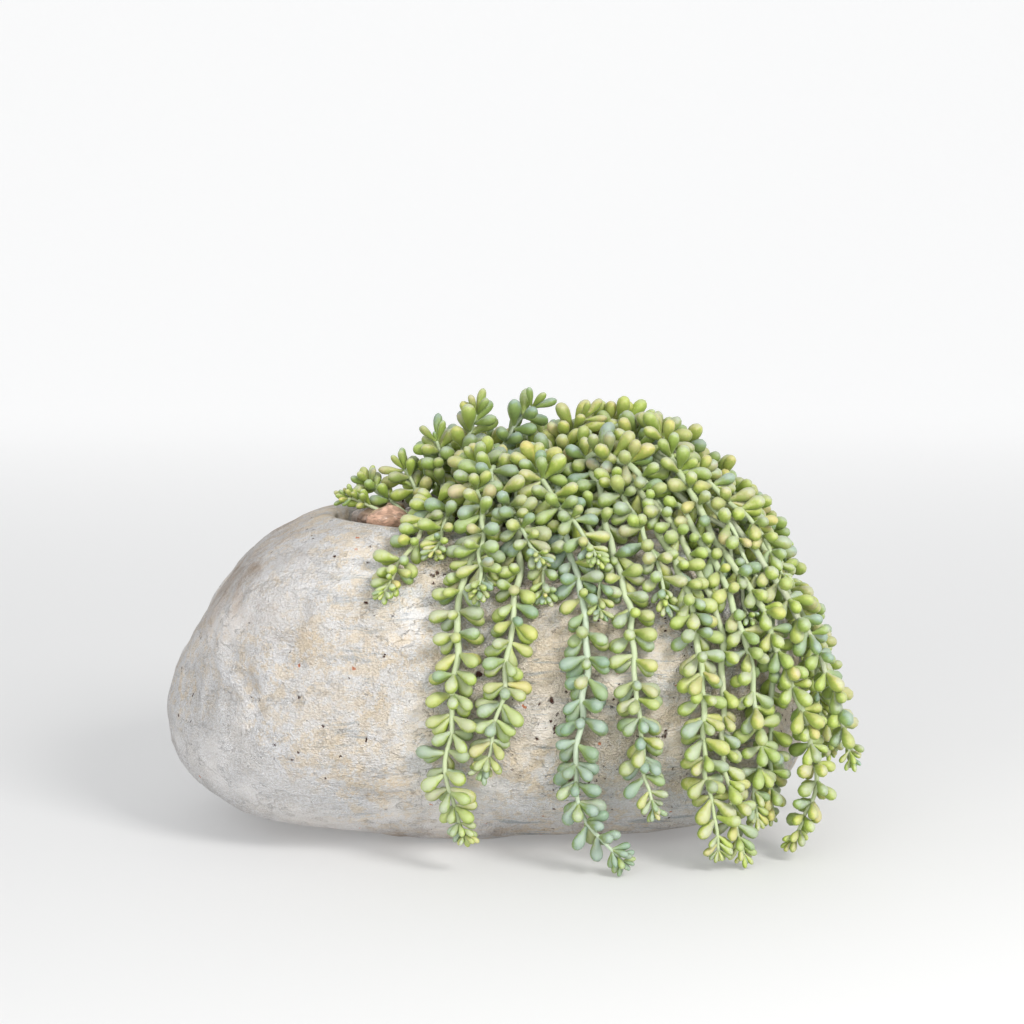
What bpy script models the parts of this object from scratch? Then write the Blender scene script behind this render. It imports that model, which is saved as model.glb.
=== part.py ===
"""Trailing sedum growing out of a hollowed boulder that serves as its pot.

Metres, +Z up. The origin is the middle of the flat that the boulder stands on,
+X runs along the boulder's length and -Y is the side that the longest stems fall down.
"""
import math

import bmesh
import bpy
import numpy as np
from mathutils import Matrix, Vector
from mathutils.bvhtree import BVHTree
from mathutils.kdtree import KDTree

MM = 0.001
SEED = 11
GAP = 0.35 * MM

# The boulder: a rounded body bounded by flats, each a direction from its heart and a distance in mm.
HEART = np.array([5.0, 0.0, 92.0]) * MM
ROUNDNESS = 9.0
FLATS = (
    ((-1.00, 0.00, 0.05), 236.5),
    ((-0.86, 0.00, 0.51), 183.0),
    ((-0.52, 0.00, 0.85), 149.0),
    ((0.00, 0.00, 1.00), 104.5),
    ((-0.85, 0.00, -0.52), 231.0),
    ((-0.30, 0.00, -0.95), 123.5),
    ((0.00, 0.00, -1.00), 97.5),
    ((0.29, 0.00, -0.96), 121.0),
    ((0.86, 0.00, -0.52), 212.5),
    ((1.00, 0.00, 0.10), 194.5),
    ((0.75, 0.00, 0.66), 162.0),
    ((0.00, -1.00, 0.05), 128.0),
    ((0.00, 1.00, 0.05), 128.0),
    ((0.00, -0.66, 0.75), 124.0),
    ((0.00, 0.66, 0.75), 124.0),
    ((0.00, -0.66, -0.75), 118.0),
    ((0.00, 0.66, -0.75), 118.0),
    ((-0.72, -0.69, 0.00), 180.0),
    ((-0.72, 0.69, 0.00), 180.0),
    ((0.72, -0.69, 0.00), 172.0),
    ((0.72, 0.69, 0.00), 172.0),
)
FLAT_NORMALS = np.array([np.array(n) / np.linalg.norm(n) for n, _ in FLATS])
FLAT_DISTANCES = np.array([d for _, d in FLATS]) * MM

# The hollow: an oval mouth in the boulder's top, over a round-bottomed bowl.
MOUTH_LONG = 97.0 * MM
MOUTH_WIDE = 60.0 * MM
# The lip swings out at the near left, where the soil and a pebble show: share, place and narrowness.
MOUTH_NOTCH = 0.17
MOUTH_NOTCH_TURN = math.radians(216.0)
MOUTH_NOTCH_SHARPNESS = 8
LIP_ROUND = 7.0 * MM
BOWL_FLOOR_Z = 62.0 * MM
BOWL_TOP_Z = 184.0 * MM
BOWL_WALL_FULLNESS = 0.6
BOWL_FLOOR_FLATNESS = 1.7
BOWL_ROWS = 8
SOIL_TOP_ROW = 1
SOIL_DOME_ROWS = 4
SOIL_DOME = 7.0 * MM
TURN_STEPS = 32
SKIN_ROWS = 15
HOLE_RADIUS = 2.3 * MM
HOLE_SIDES = 5
HOLE_CUT = 40.0 * MM

# The stems.
SOIL_Z = 184.0 * MM
FOOT_Z = 168.0 * MM
STEM_RADIUS = 1.4 * MM
STEP = 5.8 * MM
STEM_SPACING = 9.0 * MM
FLOOR_CLEAR = 9.0 * MM
MIN_LIFT = 7.0 * MM
CLEARING_ROUNDS = 120
SMOOTHING_ROUNDS = 90
STEM_SMOOTHING = 0.2
STEM_MOUTH_SHARE = 0.9
NEAR_FIRMNESS = 0.6
SPRIG_FIRMNESS = 0.5
SIDE_FIRMNESS = 0.15
FOOT_STEPS = 3
NODE_STEPS = 4
NODE_HALF = 0.9 * MM

# The leaves: plump clubs in pairs, which lie to the left and right of a stem as seen from outside,
# one pair's left leaf lifted off the stone and the next one's tucked behind. Angles are in degrees.
LEAF_LENGTH = 14.8 * MM
LEAF_PLUMPNESS = 0.262
LEAF_BELLY = 0.68
PAIR_LIFT = 34.0
TIP_SPREAD = 36.0
FULL_SPREAD = 60.0
TIP_TAPER = 38.0 * MM
TIP_THINNESS = 0.6
BARE_FOOT = 26.0 * MM
YOUNG_LEAF_SHARE = 0.42
TIP_LEAF_SHARE = 0.45
LEAF_ROUNDS = 10
LEAF_YIELDING = 0.45
LEAF_MOUTH_SHARE = 0.85
STONE_LIFT = 0.6 * MM
FLOOR_LIFT = 1.2 * MM
# A leaf is tested from these shares of its length on, against its own stem's other leaves.
TESTED_END = 0.45
TESTED_BODY = 0.3
NEAR_LEAVES = 2.2 * LEAF_LENGTH

# Stems that fall down the boulder's near face, traced from left to right:
# (root x, root y, rise, lift off the stone, [(x, z) from the mouth's edge down to the tip]), in mm.
NEAR_FALLS = (
    (-30, -38, 42, 9, [(-36, 192), (-45, 184), (-51, 174), (-53, 166), (-60, 158)]),
    (-16, -40, 40, 9, [(-26, 192), (-29, 186), (-32, 178)]),
    (-2, -30, 62, 10, [
        (-6, 188), (-14, 168), (-19, 140), (-19, 105), (-20, 84), (-29, 64), (-27, 46), (-14, 24)]),
    (6, -44, 48, 9, [(4, 190), (0, 176), (-3, 164)]),
    (14, -28, 66, 10, [(16, 190), (17, 165), (12, 148), (9, 118), (6, 94), (3, 72), (-5, 60)]),
    (26, -46, 50, 9, [(30, 190), (32, 184), (30, 156)]),
    (34, -26, 72, 10, [
        (42, 191), (48, 166), (56, 134), (54, 108), (50, 86), (42, 62), (42, 44), (54, 22), (72, 9)]),
    (52, -42, 54, 9, [(58, 189), (62, 170), (60, 148)]),
    (58, -22, 74, 10, [(66, 188), (74, 162), (80, 140), (80, 112), (83, 90), (83, 68), (90, 38)]),
    (70, -30, 76, 12, [(84, 192), (92, 178), (98, 160), (99, 152)]),
    (76, -14, 82, 12, [(94, 196), (104, 178), (114, 150), (116, 116), (120, 84), (120, 52), (129, 12)]),
    (66, -38, 60, 10, [(104, 186), (122, 162), (131, 130), (129, 82), (134, 38), (143, 10)]),
    (80, -8, 86, 13, [(108, 197), (124, 184), (138, 146), (148, 112), (153, 84), (150, 58), (151, 25)]),
    (72, 2, 88, 16, [(112, 203), (130, 191), (143, 174), (152, 158)]),
    (84, -16, 76, 12, [(118, 194), (134, 184), (143, 150), (146, 140)]),
    (82, 6, 82, 15, [(122, 195), (150, 150), (168, 112), (178, 80), (190, 52), (184, 20), (170, 12)]),
    (64, 12, 86, 18, [(114, 206), (148, 170), (178, 138), (193, 112), (198, 84), (206, 58)]),
)
# Sprigs that stand up or lean out of the mouth, as points from the soil to the tip, in mm.
SPRIGS = (
    [(-58, -10, 184), (-61, -11, 190), (-72, -16, 196), (-84, -20, 197)],
    [(-50, -2, 184), (-52, -1, 192), (-62, 1, 200), (-74, 3, 204)],
    [(-38, 4, 184), (-40, 4, 196), (-46, 5, 206), (-55, 6, 212)],
    [(-30, 12, 184), (-30, 11, 203), (-31, 9, 217), (-33, 8, 229)],
    [(-20, 14, 184), (-22, 12, 206), (-18, 9, 228), (-9, 6, 246)],
    [(0, 18, 184), (0, 17, 212), (8, 14, 234), (23, 11, 250)],
    [(24, 10, 184), (30, 8, 214), (40, 4, 234), (54, -2, 243)],
    [(30, 24, 184), (36, 22, 216), (56, 17, 238), (86, 12, 238)],
)
# Groups drawn by rule, round the right end, over the crown and down the back:
# (count, azimuth range, lift range, rise range, height range of the tip), in degrees and mm.
SIDE_GROUPS = (
    (9, (-30, 48), (9, 18), (52, 76), (18, 95)),
    (6, (-112, 26), (16, 25), (68, 86), (160, 186)),
    (6, (62, 118), (9, 18), (46, 78), (34, 120)),
)
ROOT_SPACING = 6.5 * MM

# Pebbles on the soil: ((x, y), half sizes, turn), in mm and degrees.
PEBBLE_DROP = 300.0 * MM
PEBBLES = (
    ((-60, -34), (13, 9, 8), 20),
    ((-72, -12), (9, 7, 6), 70),
    ((-78, 8), (8, 6, 5), 110),
    ((-62, 24), (10, 8, 6), 40),
    ((-40, 34), (11, 8, 7), 160),
    ((-39, -41), (7, 6, 5), 10),
    ((-48, 14), (7, 5, 4), 130),
    ((-62, 8), (6, 5, 4), 60),
)


def clear_scene():
    for obj in list(bpy.data.objects):
        bpy.data.objects.remove(obj)
    for collection in list(bpy.data.collections):
        bpy.data.collections.remove(collection)


def unit(vectors):
    return vectors / np.maximum(np.linalg.norm(vectors, axis=-1, keepdims=True), 1e-9)


# The boulder's form

def stone_share(points, lift=0.0):
    """Under 1 inside the boulder, 1 on a skin that stands the lift off it."""
    share = np.maximum(0.0, (points - HEART) @ FLAT_NORMALS.T) / (FLAT_DISTANCES + lift)
    return (share ** ROUNDNESS).sum(-1) ** (1.0 / ROUNDNESS)


def skin_point(direction):
    return HEART + direction / stone_share(HEART + direction)


def over_mouth(points, share):
    """Whether points stand over this share of the mouth's oval."""
    return np.hypot((points[:, 0] - HEART[0]) / MOUTH_LONG, points[:, 1] / MOUTH_WIDE) < share


def mouth_radius(turn):
    """Distance from the heart's upright line to the mouth's edge, at an angle round it."""
    oval = 1.0 / math.hypot(math.cos(turn) / MOUTH_LONG, math.sin(turn) / MOUTH_WIDE)
    notch = MOUTH_NOTCH * max(0.0, math.cos(turn - MOUTH_NOTCH_TURN)) ** MOUTH_NOTCH_SHARPNESS
    return oval * (1.0 + 0.025 * math.sin(3.0 * turn + 0.8) + 0.012 * math.sin(5.0 * turn) + notch)


def lip_polar(turn):
    """Angle from straight down at which the skin reaches the mouth's rounded lip."""
    low, high = 0.5 * math.pi, math.pi
    for _ in range(40):
        middle = 0.5 * (low + high)
        point = skin_direction(turn, middle)
        reach = np.linalg.norm((skin_point(point) - HEART)[:2])
        low, high = (middle, high) if reach > mouth_radius(turn) + LIP_ROUND else (low, middle)
    return low


def skin_direction(turn, polar):
    return np.array([math.sin(polar) * math.cos(turn), math.sin(polar) * math.sin(turn), -math.cos(polar)])


def bowl_point(turn, row, shrink=0.0):
    """A point on the bowl's wall, from its top row down to the middle of its floor."""
    fall = 0.5 * math.pi * row / BOWL_ROWS
    reach = (mouth_radius(turn) - shrink) * max(math.cos(fall), 0.0) ** BOWL_WALL_FULLNESS
    depth = (BOWL_TOP_Z - BOWL_FLOOR_Z - shrink) * math.sin(fall) ** BOWL_FLOOR_FLATNESS
    return HEART * (1, 1, 0) + np.array([reach * math.cos(turn), reach * math.sin(turn), BOWL_TOP_Z - depth])


def pot_profile(turn):
    """Points up the boulder's skin, over the lip and down the bowl."""
    top = lip_polar(turn)
    skin = [skin_point(skin_direction(turn, top * k / SKIN_ROWS)) for k in range(SKIN_ROWS + 1)]
    for point in skin:
        point[2] = max(point[2], 0.0)
    edge, wall = skin[-1], bowl_point(turn, 0)
    crest = np.array([0.5 * (edge[0] + wall[0]), 0.5 * (edge[1] + wall[1]), edge[2] + 0.5 * MM])
    return skin + [crest] + [bowl_point(turn, row) for row in range(BOWL_ROWS + 1)]


def sphere_rows(rows):
    """A sphere whose rows, counted from its lowest point, are moved by the caller."""
    shape = bmesh.new()
    bmesh.ops.create_uvsphere(shape, u_segments=TURN_STEPS, v_segments=rows, radius=1.0)
    return shape


def row_and_turn(vertex, rows):
    polar = math.acos(max(-1.0, min(1.0, -vertex.co.z)))
    return round(polar / math.pi * rows), math.atan2(vertex.co.y, vertex.co.x)


def material(name, colour, roughness):
    made = bpy.data.materials.new(name)
    made.use_nodes = True
    shader = made.node_tree.nodes["Principled BSDF"]
    shader.inputs["Base Color"].default_value = (*colour, 1.0)
    shader.inputs["Roughness"].default_value = roughness
    made.diffuse_color = (*colour, 1.0)
    return made


def place(name, shape, collection, finish):
    mesh = bpy.data.meshes.new(name)
    shape.to_mesh(mesh)
    shape.free()
    obj = bpy.data.objects.new(name, mesh)
    collection.objects.link(obj)
    if finish:
        mesh.materials.append(finish)
    mesh.shade_smooth()
    mesh.set_sharp_from_angle(angle=math.radians(45))
    return obj


def make_pot(collection, finish):
    rows = SKIN_ROWS + BOWL_ROWS + 2
    shape = sphere_rows(rows)
    profiles = {}
    for vertex in shape.verts:
        row, turn = row_and_turn(vertex, rows)
        key = round(turn, 4) if 0 < row < rows else 0.0
        if key not in profiles:
            profiles[key] = pot_profile(key)
        vertex.co = profiles[key][row]
    return place("planter", shape, collection, finish)


def make_soil(collection, cutters, finish, roots):
    """Soil fills the bowl to its second row, with a plain hole for each stem."""
    fill_rows = BOWL_ROWS - SOIL_TOP_ROW
    rows = fill_rows + SOIL_DOME_ROWS
    shape = sphere_rows(rows)
    for vertex in shape.verts:
        row, turn = row_and_turn(vertex, rows)
        if row <= fill_rows:
            vertex.co = bowl_point(turn if row else 0.0, BOWL_ROWS - row, GAP)
            continue
        inward = (row - fill_rows) / SOIL_DOME_ROWS
        edge = bowl_point(turn, SOIL_TOP_ROW, GAP)
        middle = HEART * (1, 1, 0) + np.array([0, 0, edge[2] + SOIL_DOME])
        point = edge + (middle - edge) * inward
        point[2] = edge[2] + SOIL_DOME * math.sin(0.5 * math.pi * inward)
        vertex.co = point
    soil = place("soil", shape, collection, finish)
    for index, root in enumerate(roots):
        hole = bmesh.new()
        bmesh.ops.create_cone(hole, cap_ends=True, segments=HOLE_SIDES, radius1=HOLE_RADIUS,
                              radius2=HOLE_RADIUS, depth=HOLE_CUT)
        bmesh.ops.translate(hole, verts=hole.verts, vec=(root[0], root[1], FOOT_Z - GAP + 0.5 * HOLE_CUT))
        cutter = place(f"hole_{index + 1:02d}", hole, cutters, None)
        cutter.hide_render = True
        cutter.display_type = "WIRE"
    cut = soil.modifiers.new("stem_holes", "BOOLEAN")
    cut.operand_type = "COLLECTION"
    cut.collection = cutters
    cut.solver = "EXACT"
    return soil


# The stems' lines

def fall_points(azimuth, lift, keys):
    """Points down the boulder's outside. Each key is (across, height): a stem lies on the stone
    down to its widest point and hangs plumb below it."""
    out = np.array([math.cos(azimuth), math.sin(azimuth), 0.0])
    across_way = np.array([-out[1], out[0], 0.0])
    steps = np.arange(0.0, 0.3, 0.0005)
    reach, points = 0.0, []
    for across, height in keys:
        base = across_way * across + np.array([0.0, 0.0, height])
        inside = stone_share(base + steps[:, None] * out, lift) < 1.0
        if inside.any():
            reach = max(reach, steps[inside][-1])
        points.append(base + out * reach)
    return points


def arch_points(root, rise, first, second):
    """A stem's rise from the soil and its turn over towards the first point of its fall."""
    away = unit(first - second)
    bends = (root, root + np.array([0, 0, rise]), first + away * 0.75 * rise, first)
    points = []
    for t in np.linspace(0.0, 1.0, 9)[:-1]:
        weights = ((1 - t) ** 3, 3 * t * (1 - t) ** 2, 3 * t * t * (1 - t), t ** 3)
        points.append(sum(w * b for w, b in zip(weights, bends)))
    return points


def smooth_line(points):
    """A curve through the points (Catmull-Rom), cut into equal steps."""
    points = np.array(points)
    ends = np.vstack([2 * points[0] - points[1], points, 2 * points[-1] - points[-2]])
    fine = []
    for a, b, c, d in zip(ends[:-3], ends[1:-2], ends[2:-1], ends[3:]):
        t = np.linspace(0.0, 1.0, 12, endpoint=False)[:, None]
        fine.append(0.5 * (2 * b + (c - a) * t + (2 * a - 5 * b + 4 * c - d) * t ** 2
                           + (3 * b - 3 * c + d - a) * t ** 3))
    fine = np.vstack(fine + [points[-1:]])
    return even_steps(fine)


def even_steps(line):
    lengths = np.concatenate([[0.0], np.cumsum(np.linalg.norm(np.diff(line, axis=0), axis=1))])
    count = max(4, int(round(lengths[-1] / STEP)))
    marks = np.linspace(0.0, lengths[-1], count + 1)
    return np.stack([np.interp(marks, lengths, line[:, axis]) for axis in range(3)], axis=1)


def rooted(root, way_on):
    """A stem's line: upright through the soil, then along the way on."""
    upright = [np.array([root[0], root[1], FOOT_Z + k * STEP]) for k in range(FOOT_STEPS + 1)]
    return np.vstack([upright[:-1], smooth_line([upright[-1], *way_on])])


def stem_line(root, rise, falls):
    out_of_soil = np.array([root[0], root[1], FOOT_Z + FOOT_STEPS * STEP])
    return rooted(root, arch_points(out_of_soil, rise, falls[0], falls[1])[1:] + falls)


def near_lines():
    lines = []
    for x, y, rise, lift, keys in NEAR_FALLS:
        keys = [(kx * MM, kz * MM) for kx, kz in keys]
        falls = fall_points(-0.5 * math.pi, lift * MM, keys)
        lines.append(stem_line((x * MM, y * MM), rise * MM, falls))
    return lines


def sprig_lines():
    return [rooted(np.array(points[0]) * MM, np.array(points[1:]) * MM) for points in SPRIGS]


def free_root(out, taken, rng):
    """A place in the soil on the side that a stem falls to, clear of the stems already set."""
    while True:
        root = HEART[:2] + out * np.array([62.0, 36.0]) * MM * rng.uniform(0.2, 1.0)
        root += rng.uniform(-10.0, 10.0, 2) * MM
        if all(np.linalg.norm(root - other) > ROOT_SPACING for other in taken):
            taken.append(root)
            return root


def side_lines(taken, rng):
    lines = []
    for count, azimuths, lifts, rises, tips in SIDE_GROUPS:
        for k in range(count):
            share = (k + rng.uniform(0.25, 0.75)) / count
            azimuth = math.radians(azimuths[0] + (azimuths[1] - azimuths[0]) * share)
            out = np.array([math.cos(azimuth), math.sin(azimuth)])
            root = free_root(out, taken, rng)
            across = rng.uniform(-14.0, 14.0) * MM + out[0] * root[1] - out[1] * root[0]
            sway = rng.uniform(-9.0, 9.0) * MM
            heights = np.linspace(194.0, rng.uniform(*tips), 6) * MM
            keys = [(across + sway * math.sin(1.3 * i), height) for i, height in enumerate(heights)]
            falls = fall_points(azimuth, rng.uniform(*lifts) * MM, keys)
            lines.append(stem_line(root, rng.uniform(*rises) * MM, falls))
    return lines


def bend_clear(lines, firmness):
    """Bends the stems clear of each other, of the boulder and of the ground, with their feet held."""
    owner = np.concatenate([np.full(len(line), k) for k, line in enumerate(lines)])
    starts = np.cumsum([0] + [len(line) for line in lines])
    held = np.concatenate([np.arange(len(line)) <= FOOT_STEPS for line in lines])
    yielding = np.concatenate([np.full(len(line), 1.0 - firm) for line, firm in zip(lines, firmness)])
    yielding[held] = 0.0
    points = np.vstack(lines)
    for round_number in range(CLEARING_ROUNDS):
        tree = KDTree(len(points))
        for index, point in enumerate(points):
            tree.insert(point, index)
        tree.balance()
        push = np.zeros_like(points)
        for index, point in enumerate(points):
            for near, other, distance in tree.find_range(point, STEM_SPACING):
                if owner[other] != owner[index] and distance > 1e-7:
                    push[index] += (point - np.array(near)) / distance * 0.5 * (STEM_SPACING - distance)
        along = unit(np.gradient(points, axis=0))
        push -= along * (push * along).sum(-1, keepdims=True)
        points += push * yielding[:, None]
        share = stone_share(points, MIN_LIFT)
        outside = HEART + (points - HEART) / np.minimum(share, 1.0)[:, None]
        free = held | over_mouth(points, STEM_MOUTH_SHARE)
        points = np.where(free[:, None], points, outside)
        points[:, 2] = np.maximum(points[:, 2], FLOOR_CLEAR)
        if round_number < SMOOTHING_ROUNDS:
            middle = 0.5 * (points[:-2] + points[2:])
            inner = (owner[:-2] == owner[2:]) & ~held[1:-1]
            points[1:-1][inner] += STEM_SMOOTHING * (middle[inner] - points[1:-1][inner])
    return [points[a:b] for a, b in zip(starts[:-1], starts[1:])]


def stem_lines():
    rng = np.random.default_rng(SEED)
    near, sprigs = near_lines(), sprig_lines()
    side = side_lines([line[0][:2] for line in near + sprigs], rng)
    firmness = [NEAR_FIRMNESS] * len(near) + [SPRIG_FIRMNESS] * len(sprigs) + [SIDE_FIRMNESS] * len(side)
    return bend_clear(near + sprigs + side, firmness)


# The leaves

class Leaves:
    """Every leaf of every stem: where it is rooted, the way it points, its length and its stem."""

    def __init__(self, lines, rng):
        roots, ways, lengths, stems, marks = [], [], [], [], []
        for stem, line in enumerate(lines):
            tangents = unit(np.gradient(line, axis=0))
            outward = self.outward_of(line[-1], tangents[-1])
            twist, drift = rng.uniform(-30.0, 30.0), rng.uniform(-4.0, 4.0)
            for k in range(len(line) - 1, -1, -1):
                to_tip = min(1.0, (len(line) - 1 - k) * STEP / TIP_TAPER)
                outward = unit(0.8 * outward + 0.2 * self.outward_of(line[k], tangents[k]))
                outward = unit(outward - tangents[k] * (outward @ tangents[k]))
                across = np.cross(tangents[k], outward)
                twist += drift + rng.uniform(-6.0, 6.0)
                if k * STEP < BARE_FOOT:
                    break
                for side in (0.0, 180.0):
                    lift = PAIR_LIFT * (1.0 if k % 2 else -1.0) + rng.uniform(-16.0, 16.0)
                    angle = math.radians(side + lift + twist)
                    spread = TIP_SPREAD + (FULL_SPREAD - TIP_SPREAD) * to_tip
                    lean = math.radians(spread + rng.uniform(-13.0, 13.0))
                    sideways = across * math.cos(angle) + outward * math.sin(angle)
                    roots.append(line[k])
                    ways.append(tangents[k] * math.cos(lean) + sideways * math.sin(lean))
                    grown = YOUNG_LEAF_SHARE + (1.0 - YOUNG_LEAF_SHARE) * to_tip ** 0.8
                    lengths.append(LEAF_LENGTH * grown * rng.uniform(0.86, 1.1))
                    stems.append(stem)
                    marks.append(k)
            roots.append(line[-1] - 0.3 * STEP * tangents[-1])
            ways.append(tangents[-1])
            lengths.append(TIP_LEAF_SHARE * LEAF_LENGTH)
            stems.append(stem)
            marks.append(len(line) - 1)
        self.roots, self.ways = np.array(roots), unit(np.array(ways))
        self.lengths, self.stems, self.marks = np.array(lengths), np.array(stems), np.array(marks)

    @staticmethod
    def outward_of(point, tangent):
        away = unit(point - HEART)
        return unit(away - tangent * (away @ tangent) * 0.98)

    def settle(self):
        """Swings the leaves on their roots until their plump ends lie beside each other and off the stone."""
        girths = self.lengths * LEAF_PLUMPNESS
        widest = 2.0 * girths.max()
        for _ in range(LEAF_ROUNDS):
            ends = self.roots + self.ways * (self.lengths * LEAF_BELLY)[:, None]
            tree = KDTree(len(ends))
            for index, end in enumerate(ends):
                tree.insert(end, index)
            tree.balance()
            push = np.zeros_like(ends)
            for index, end in enumerate(ends):
                for near, other, distance in tree.find_range(end, widest):
                    overlap = girths[index] + girths[other] - distance
                    if other != index and overlap > 0.0 and distance > 1e-7:
                        push[index] += (end - np.array(near)) / distance * LEAF_YIELDING * overlap
            ends += push
            share = stone_share(ends)
            depth = (1.0 - share) * np.linalg.norm(ends - HEART, axis=1) + girths + STONE_LIFT
            away = unit(ends - HEART)
            inside = over_mouth(ends, LEAF_MOUTH_SHARE)
            ends += away * (np.maximum(depth, 0.0) * ~inside)[:, None]
            ends[:, 2] += np.maximum(0.0, girths + FLOOR_LIFT - ends[:, 2])
            low = inside & (ends[:, 2] < SOIL_Z + girths)
            ends[:, 2] = np.where(low, SOIL_Z + girths, ends[:, 2])
            self.ways = unit(ends - self.roots)


# The solids of the stems

def tree_of(shape):
    tree = BVHTree.FromBMesh(shape)
    shape.free()
    return tree


def tree_of_object(obj):
    shape = bmesh.new()
    shape.from_object(obj, bpy.context.evaluated_depsgraph_get())
    return tree_of(shape)


def node_steps(line):
    """The steps of a stem at which its solid carries leaves, from the foot to the tip."""
    return [k for k in range(len(line) - 2, FOOT_STEPS, -NODE_STEPS) if k * STEP >= BARE_FOOT][::-1]


def make_tube(line, radius):
    """A four-sided tube with closed ends, with a short stretch at each of the stem's nodes."""
    tangents = unit(np.gradient(line, axis=0))
    points = [line[0], line[FOOT_STEPS]]
    for k in node_steps(line):
        points += [line[k] - NODE_HALF * tangents[k], line[k] + NODE_HALF * tangents[k]]
    points.append(line[-1])
    curve = bpy.data.curves.new("stem_guide", "CURVE")
    curve.dimensions = "3D"
    curve.bevel_depth = radius
    curve.bevel_resolution = 0
    curve.use_fill_caps = True
    spline = curve.splines.new("POLY")
    spline.points.add(len(points) - 1)
    for corner, point in zip(spline.points, points):
        corner.co = (*point, 1.0)
    spline.points[-1].radius = TIP_THINNESS
    guide = bpy.data.objects.new("stem_guide", curve)
    bpy.context.scene.collection.objects.link(guide)
    mesh = bpy.data.meshes.new_from_object(guide.evaluated_get(bpy.context.evaluated_depsgraph_get()))
    bpy.data.objects.remove(guide)
    shape = bmesh.new()
    shape.from_mesh(mesh)
    bpy.data.meshes.remove(mesh)
    bmesh.ops.remove_doubles(shape, verts=shape.verts, dist=0.01 * MM)
    bmesh.ops.recalc_face_normals(shape, faces=shape.faces)
    return shape


def club(root, way, length, start=0.0, grow=0.0):
    """The room that a leaf takes, from a share of its length on: a plain double cone."""
    shape = bmesh.new()
    bmesh.ops.create_uvsphere(shape, u_segments=4, v_segments=2, radius=LEAF_PLUMPNESS * length + grow)
    for vertex in shape.verts:
        if abs(vertex.co.z) < grow + 0.1 * MM:
            vertex.co.z = LEAF_BELLY * length
        else:
            vertex.co.z = length + grow if vertex.co.z > 0 else start * length - grow
    facing = Vector(way).to_track_quat("Z", "Y").to_matrix()
    bmesh.ops.rotate(shape, cent=(0, 0, 0), matrix=facing, verts=shape.verts)
    bmesh.ops.translate(shape, verts=shape.verts, vec=root)
    return shape


def choose_leaves(lines, leaves, obstacles):
    """The leaves at each stem's nodes that are clear of all that is there: root, way and length."""
    bare = [tree_of(make_tube(line, STEM_RADIUS)) for line in lines]
    tubes = [tree_of(make_tube(line, STEM_RADIUS + GAP)) for line in lines]
    placed = []
    chosen = [[] for _ in lines]
    for stem, line in enumerate(lines):
        others = obstacles + tubes[:stem] + tubes[stem + 1:]
        for step in node_steps(line) + [len(line) - 1]:
            found = np.flatnonzero((leaves.stems == stem) & (leaves.marks == step))
            for leaf in found[-1:] if step == len(line) - 1 else found:
                root, way, length = line[step], leaves.ways[leaf], leaves.lengths[leaf]
                probe = tree_of(club(root, way, length, 0.0, GAP))
                end = tree_of(club(root, way, length, TESTED_END))
                near = [(owner, tree) for owner, where, tree in placed
                        if np.linalg.norm(where - root) < NEAR_LEAVES]
                crossed = any(probe.overlap(tree) for tree in others)
                crossed = crossed or any(probe.overlap(tree) for owner, tree in near if owner != stem)
                crossed = crossed or any(end.overlap(tree) for owner, tree in near if owner == stem)
                if crossed or (step != len(line) - 1 and end.overlap(bare[stem])):
                    continue
                chosen[stem].append((step, root, way, length))
                placed.append((stem, root, tree_of(club(root, way, length, TESTED_BODY))))
    return chosen


def draw_out_leaf(shape, face, root, way, length, grow):
    """Draws a side of a stem out into a leaf: its narrow root is that side, then its belly, then its end."""
    axis = Vector(way)
    across = axis.orthogonal().normalized()
    upward = axis.cross(across)
    blunt = bmesh.ops.extrude_discrete_faces(shape, faces=[face])["faces"][0]
    middle = blunt.calc_center_median()
    corners = [loop.vert for loop in blunt.loops]
    angles = [math.atan2((v.co - middle).dot(upward), (v.co - middle).dot(across)) for v in corners[:2]]
    turn = 0.5 * math.pi if math.sin(angles[1] - angles[0]) > 0 else -0.5 * math.pi
    belly = Vector(root) + axis * LEAF_BELLY * length
    for index, corner in enumerate(corners):
        angle = angles[0] + index * turn
        spoke = across * math.cos(angle) + upward * math.sin(angle)
        corner.co = belly + spoke * (LEAF_PLUMPNESS * length + grow)
    end = bmesh.ops.poke(shape, faces=[blunt])["verts"][0]
    end.co = Vector(root) + axis * (length + grow)


def stem_shape(line, chosen, grow=0.0):
    """A stem's tube, with each leaf drawn out of the side of the tube that faces the leaf's way."""
    shape = make_tube(line, STEM_RADIUS + grow)
    free_faces = list(shape.faces)
    for _, root, way, length in chosen:
        beside = sorted(free_faces, key=lambda face: (face.calc_center_median() - Vector(root)).length)[:4]
        face = max(beside, key=lambda side: side.normal.dot(Vector(way)))
        free_faces.remove(face)
        draw_out_leaf(shape, face, root, way, length, grow)
    bmesh.ops.recalc_face_normals(shape, faces=shape.faces)
    shape.faces.index_update()
    shape.faces.ensure_lookup_table()
    return shape


def crossings(lines, chosen, obstacles):
    """Where the leafy stems still cross: the place, and the stems that meet there."""
    shapes = [stem_shape(line, leaves, 0.5 * GAP) for line, leaves in zip(lines, chosen)]
    trees = [BVHTree.FromBMesh(shape) for shape in shapes]
    found = []
    for a, (shape, tree) in enumerate(zip(shapes, trees)):
        corners = [set(face.verts) for face in shape.faces]
        centres = [face.calc_center_median() for face in shape.faces]
        own = [i for i, j in tree.overlap(tree) if i < j and not corners[i] & corners[j]]
        found += [(centres[i], (a,)) for i in own]
        found += [(centres[i], (a,)) for other in obstacles for i, _ in tree.overlap(other)]
        for b in range(a + 1, len(trees)):
            found += [(centres[i], (a, b)) for i, _ in tree.overlap(trees[b])]
    for shape in shapes:
        shape.free()
    return found


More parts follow.
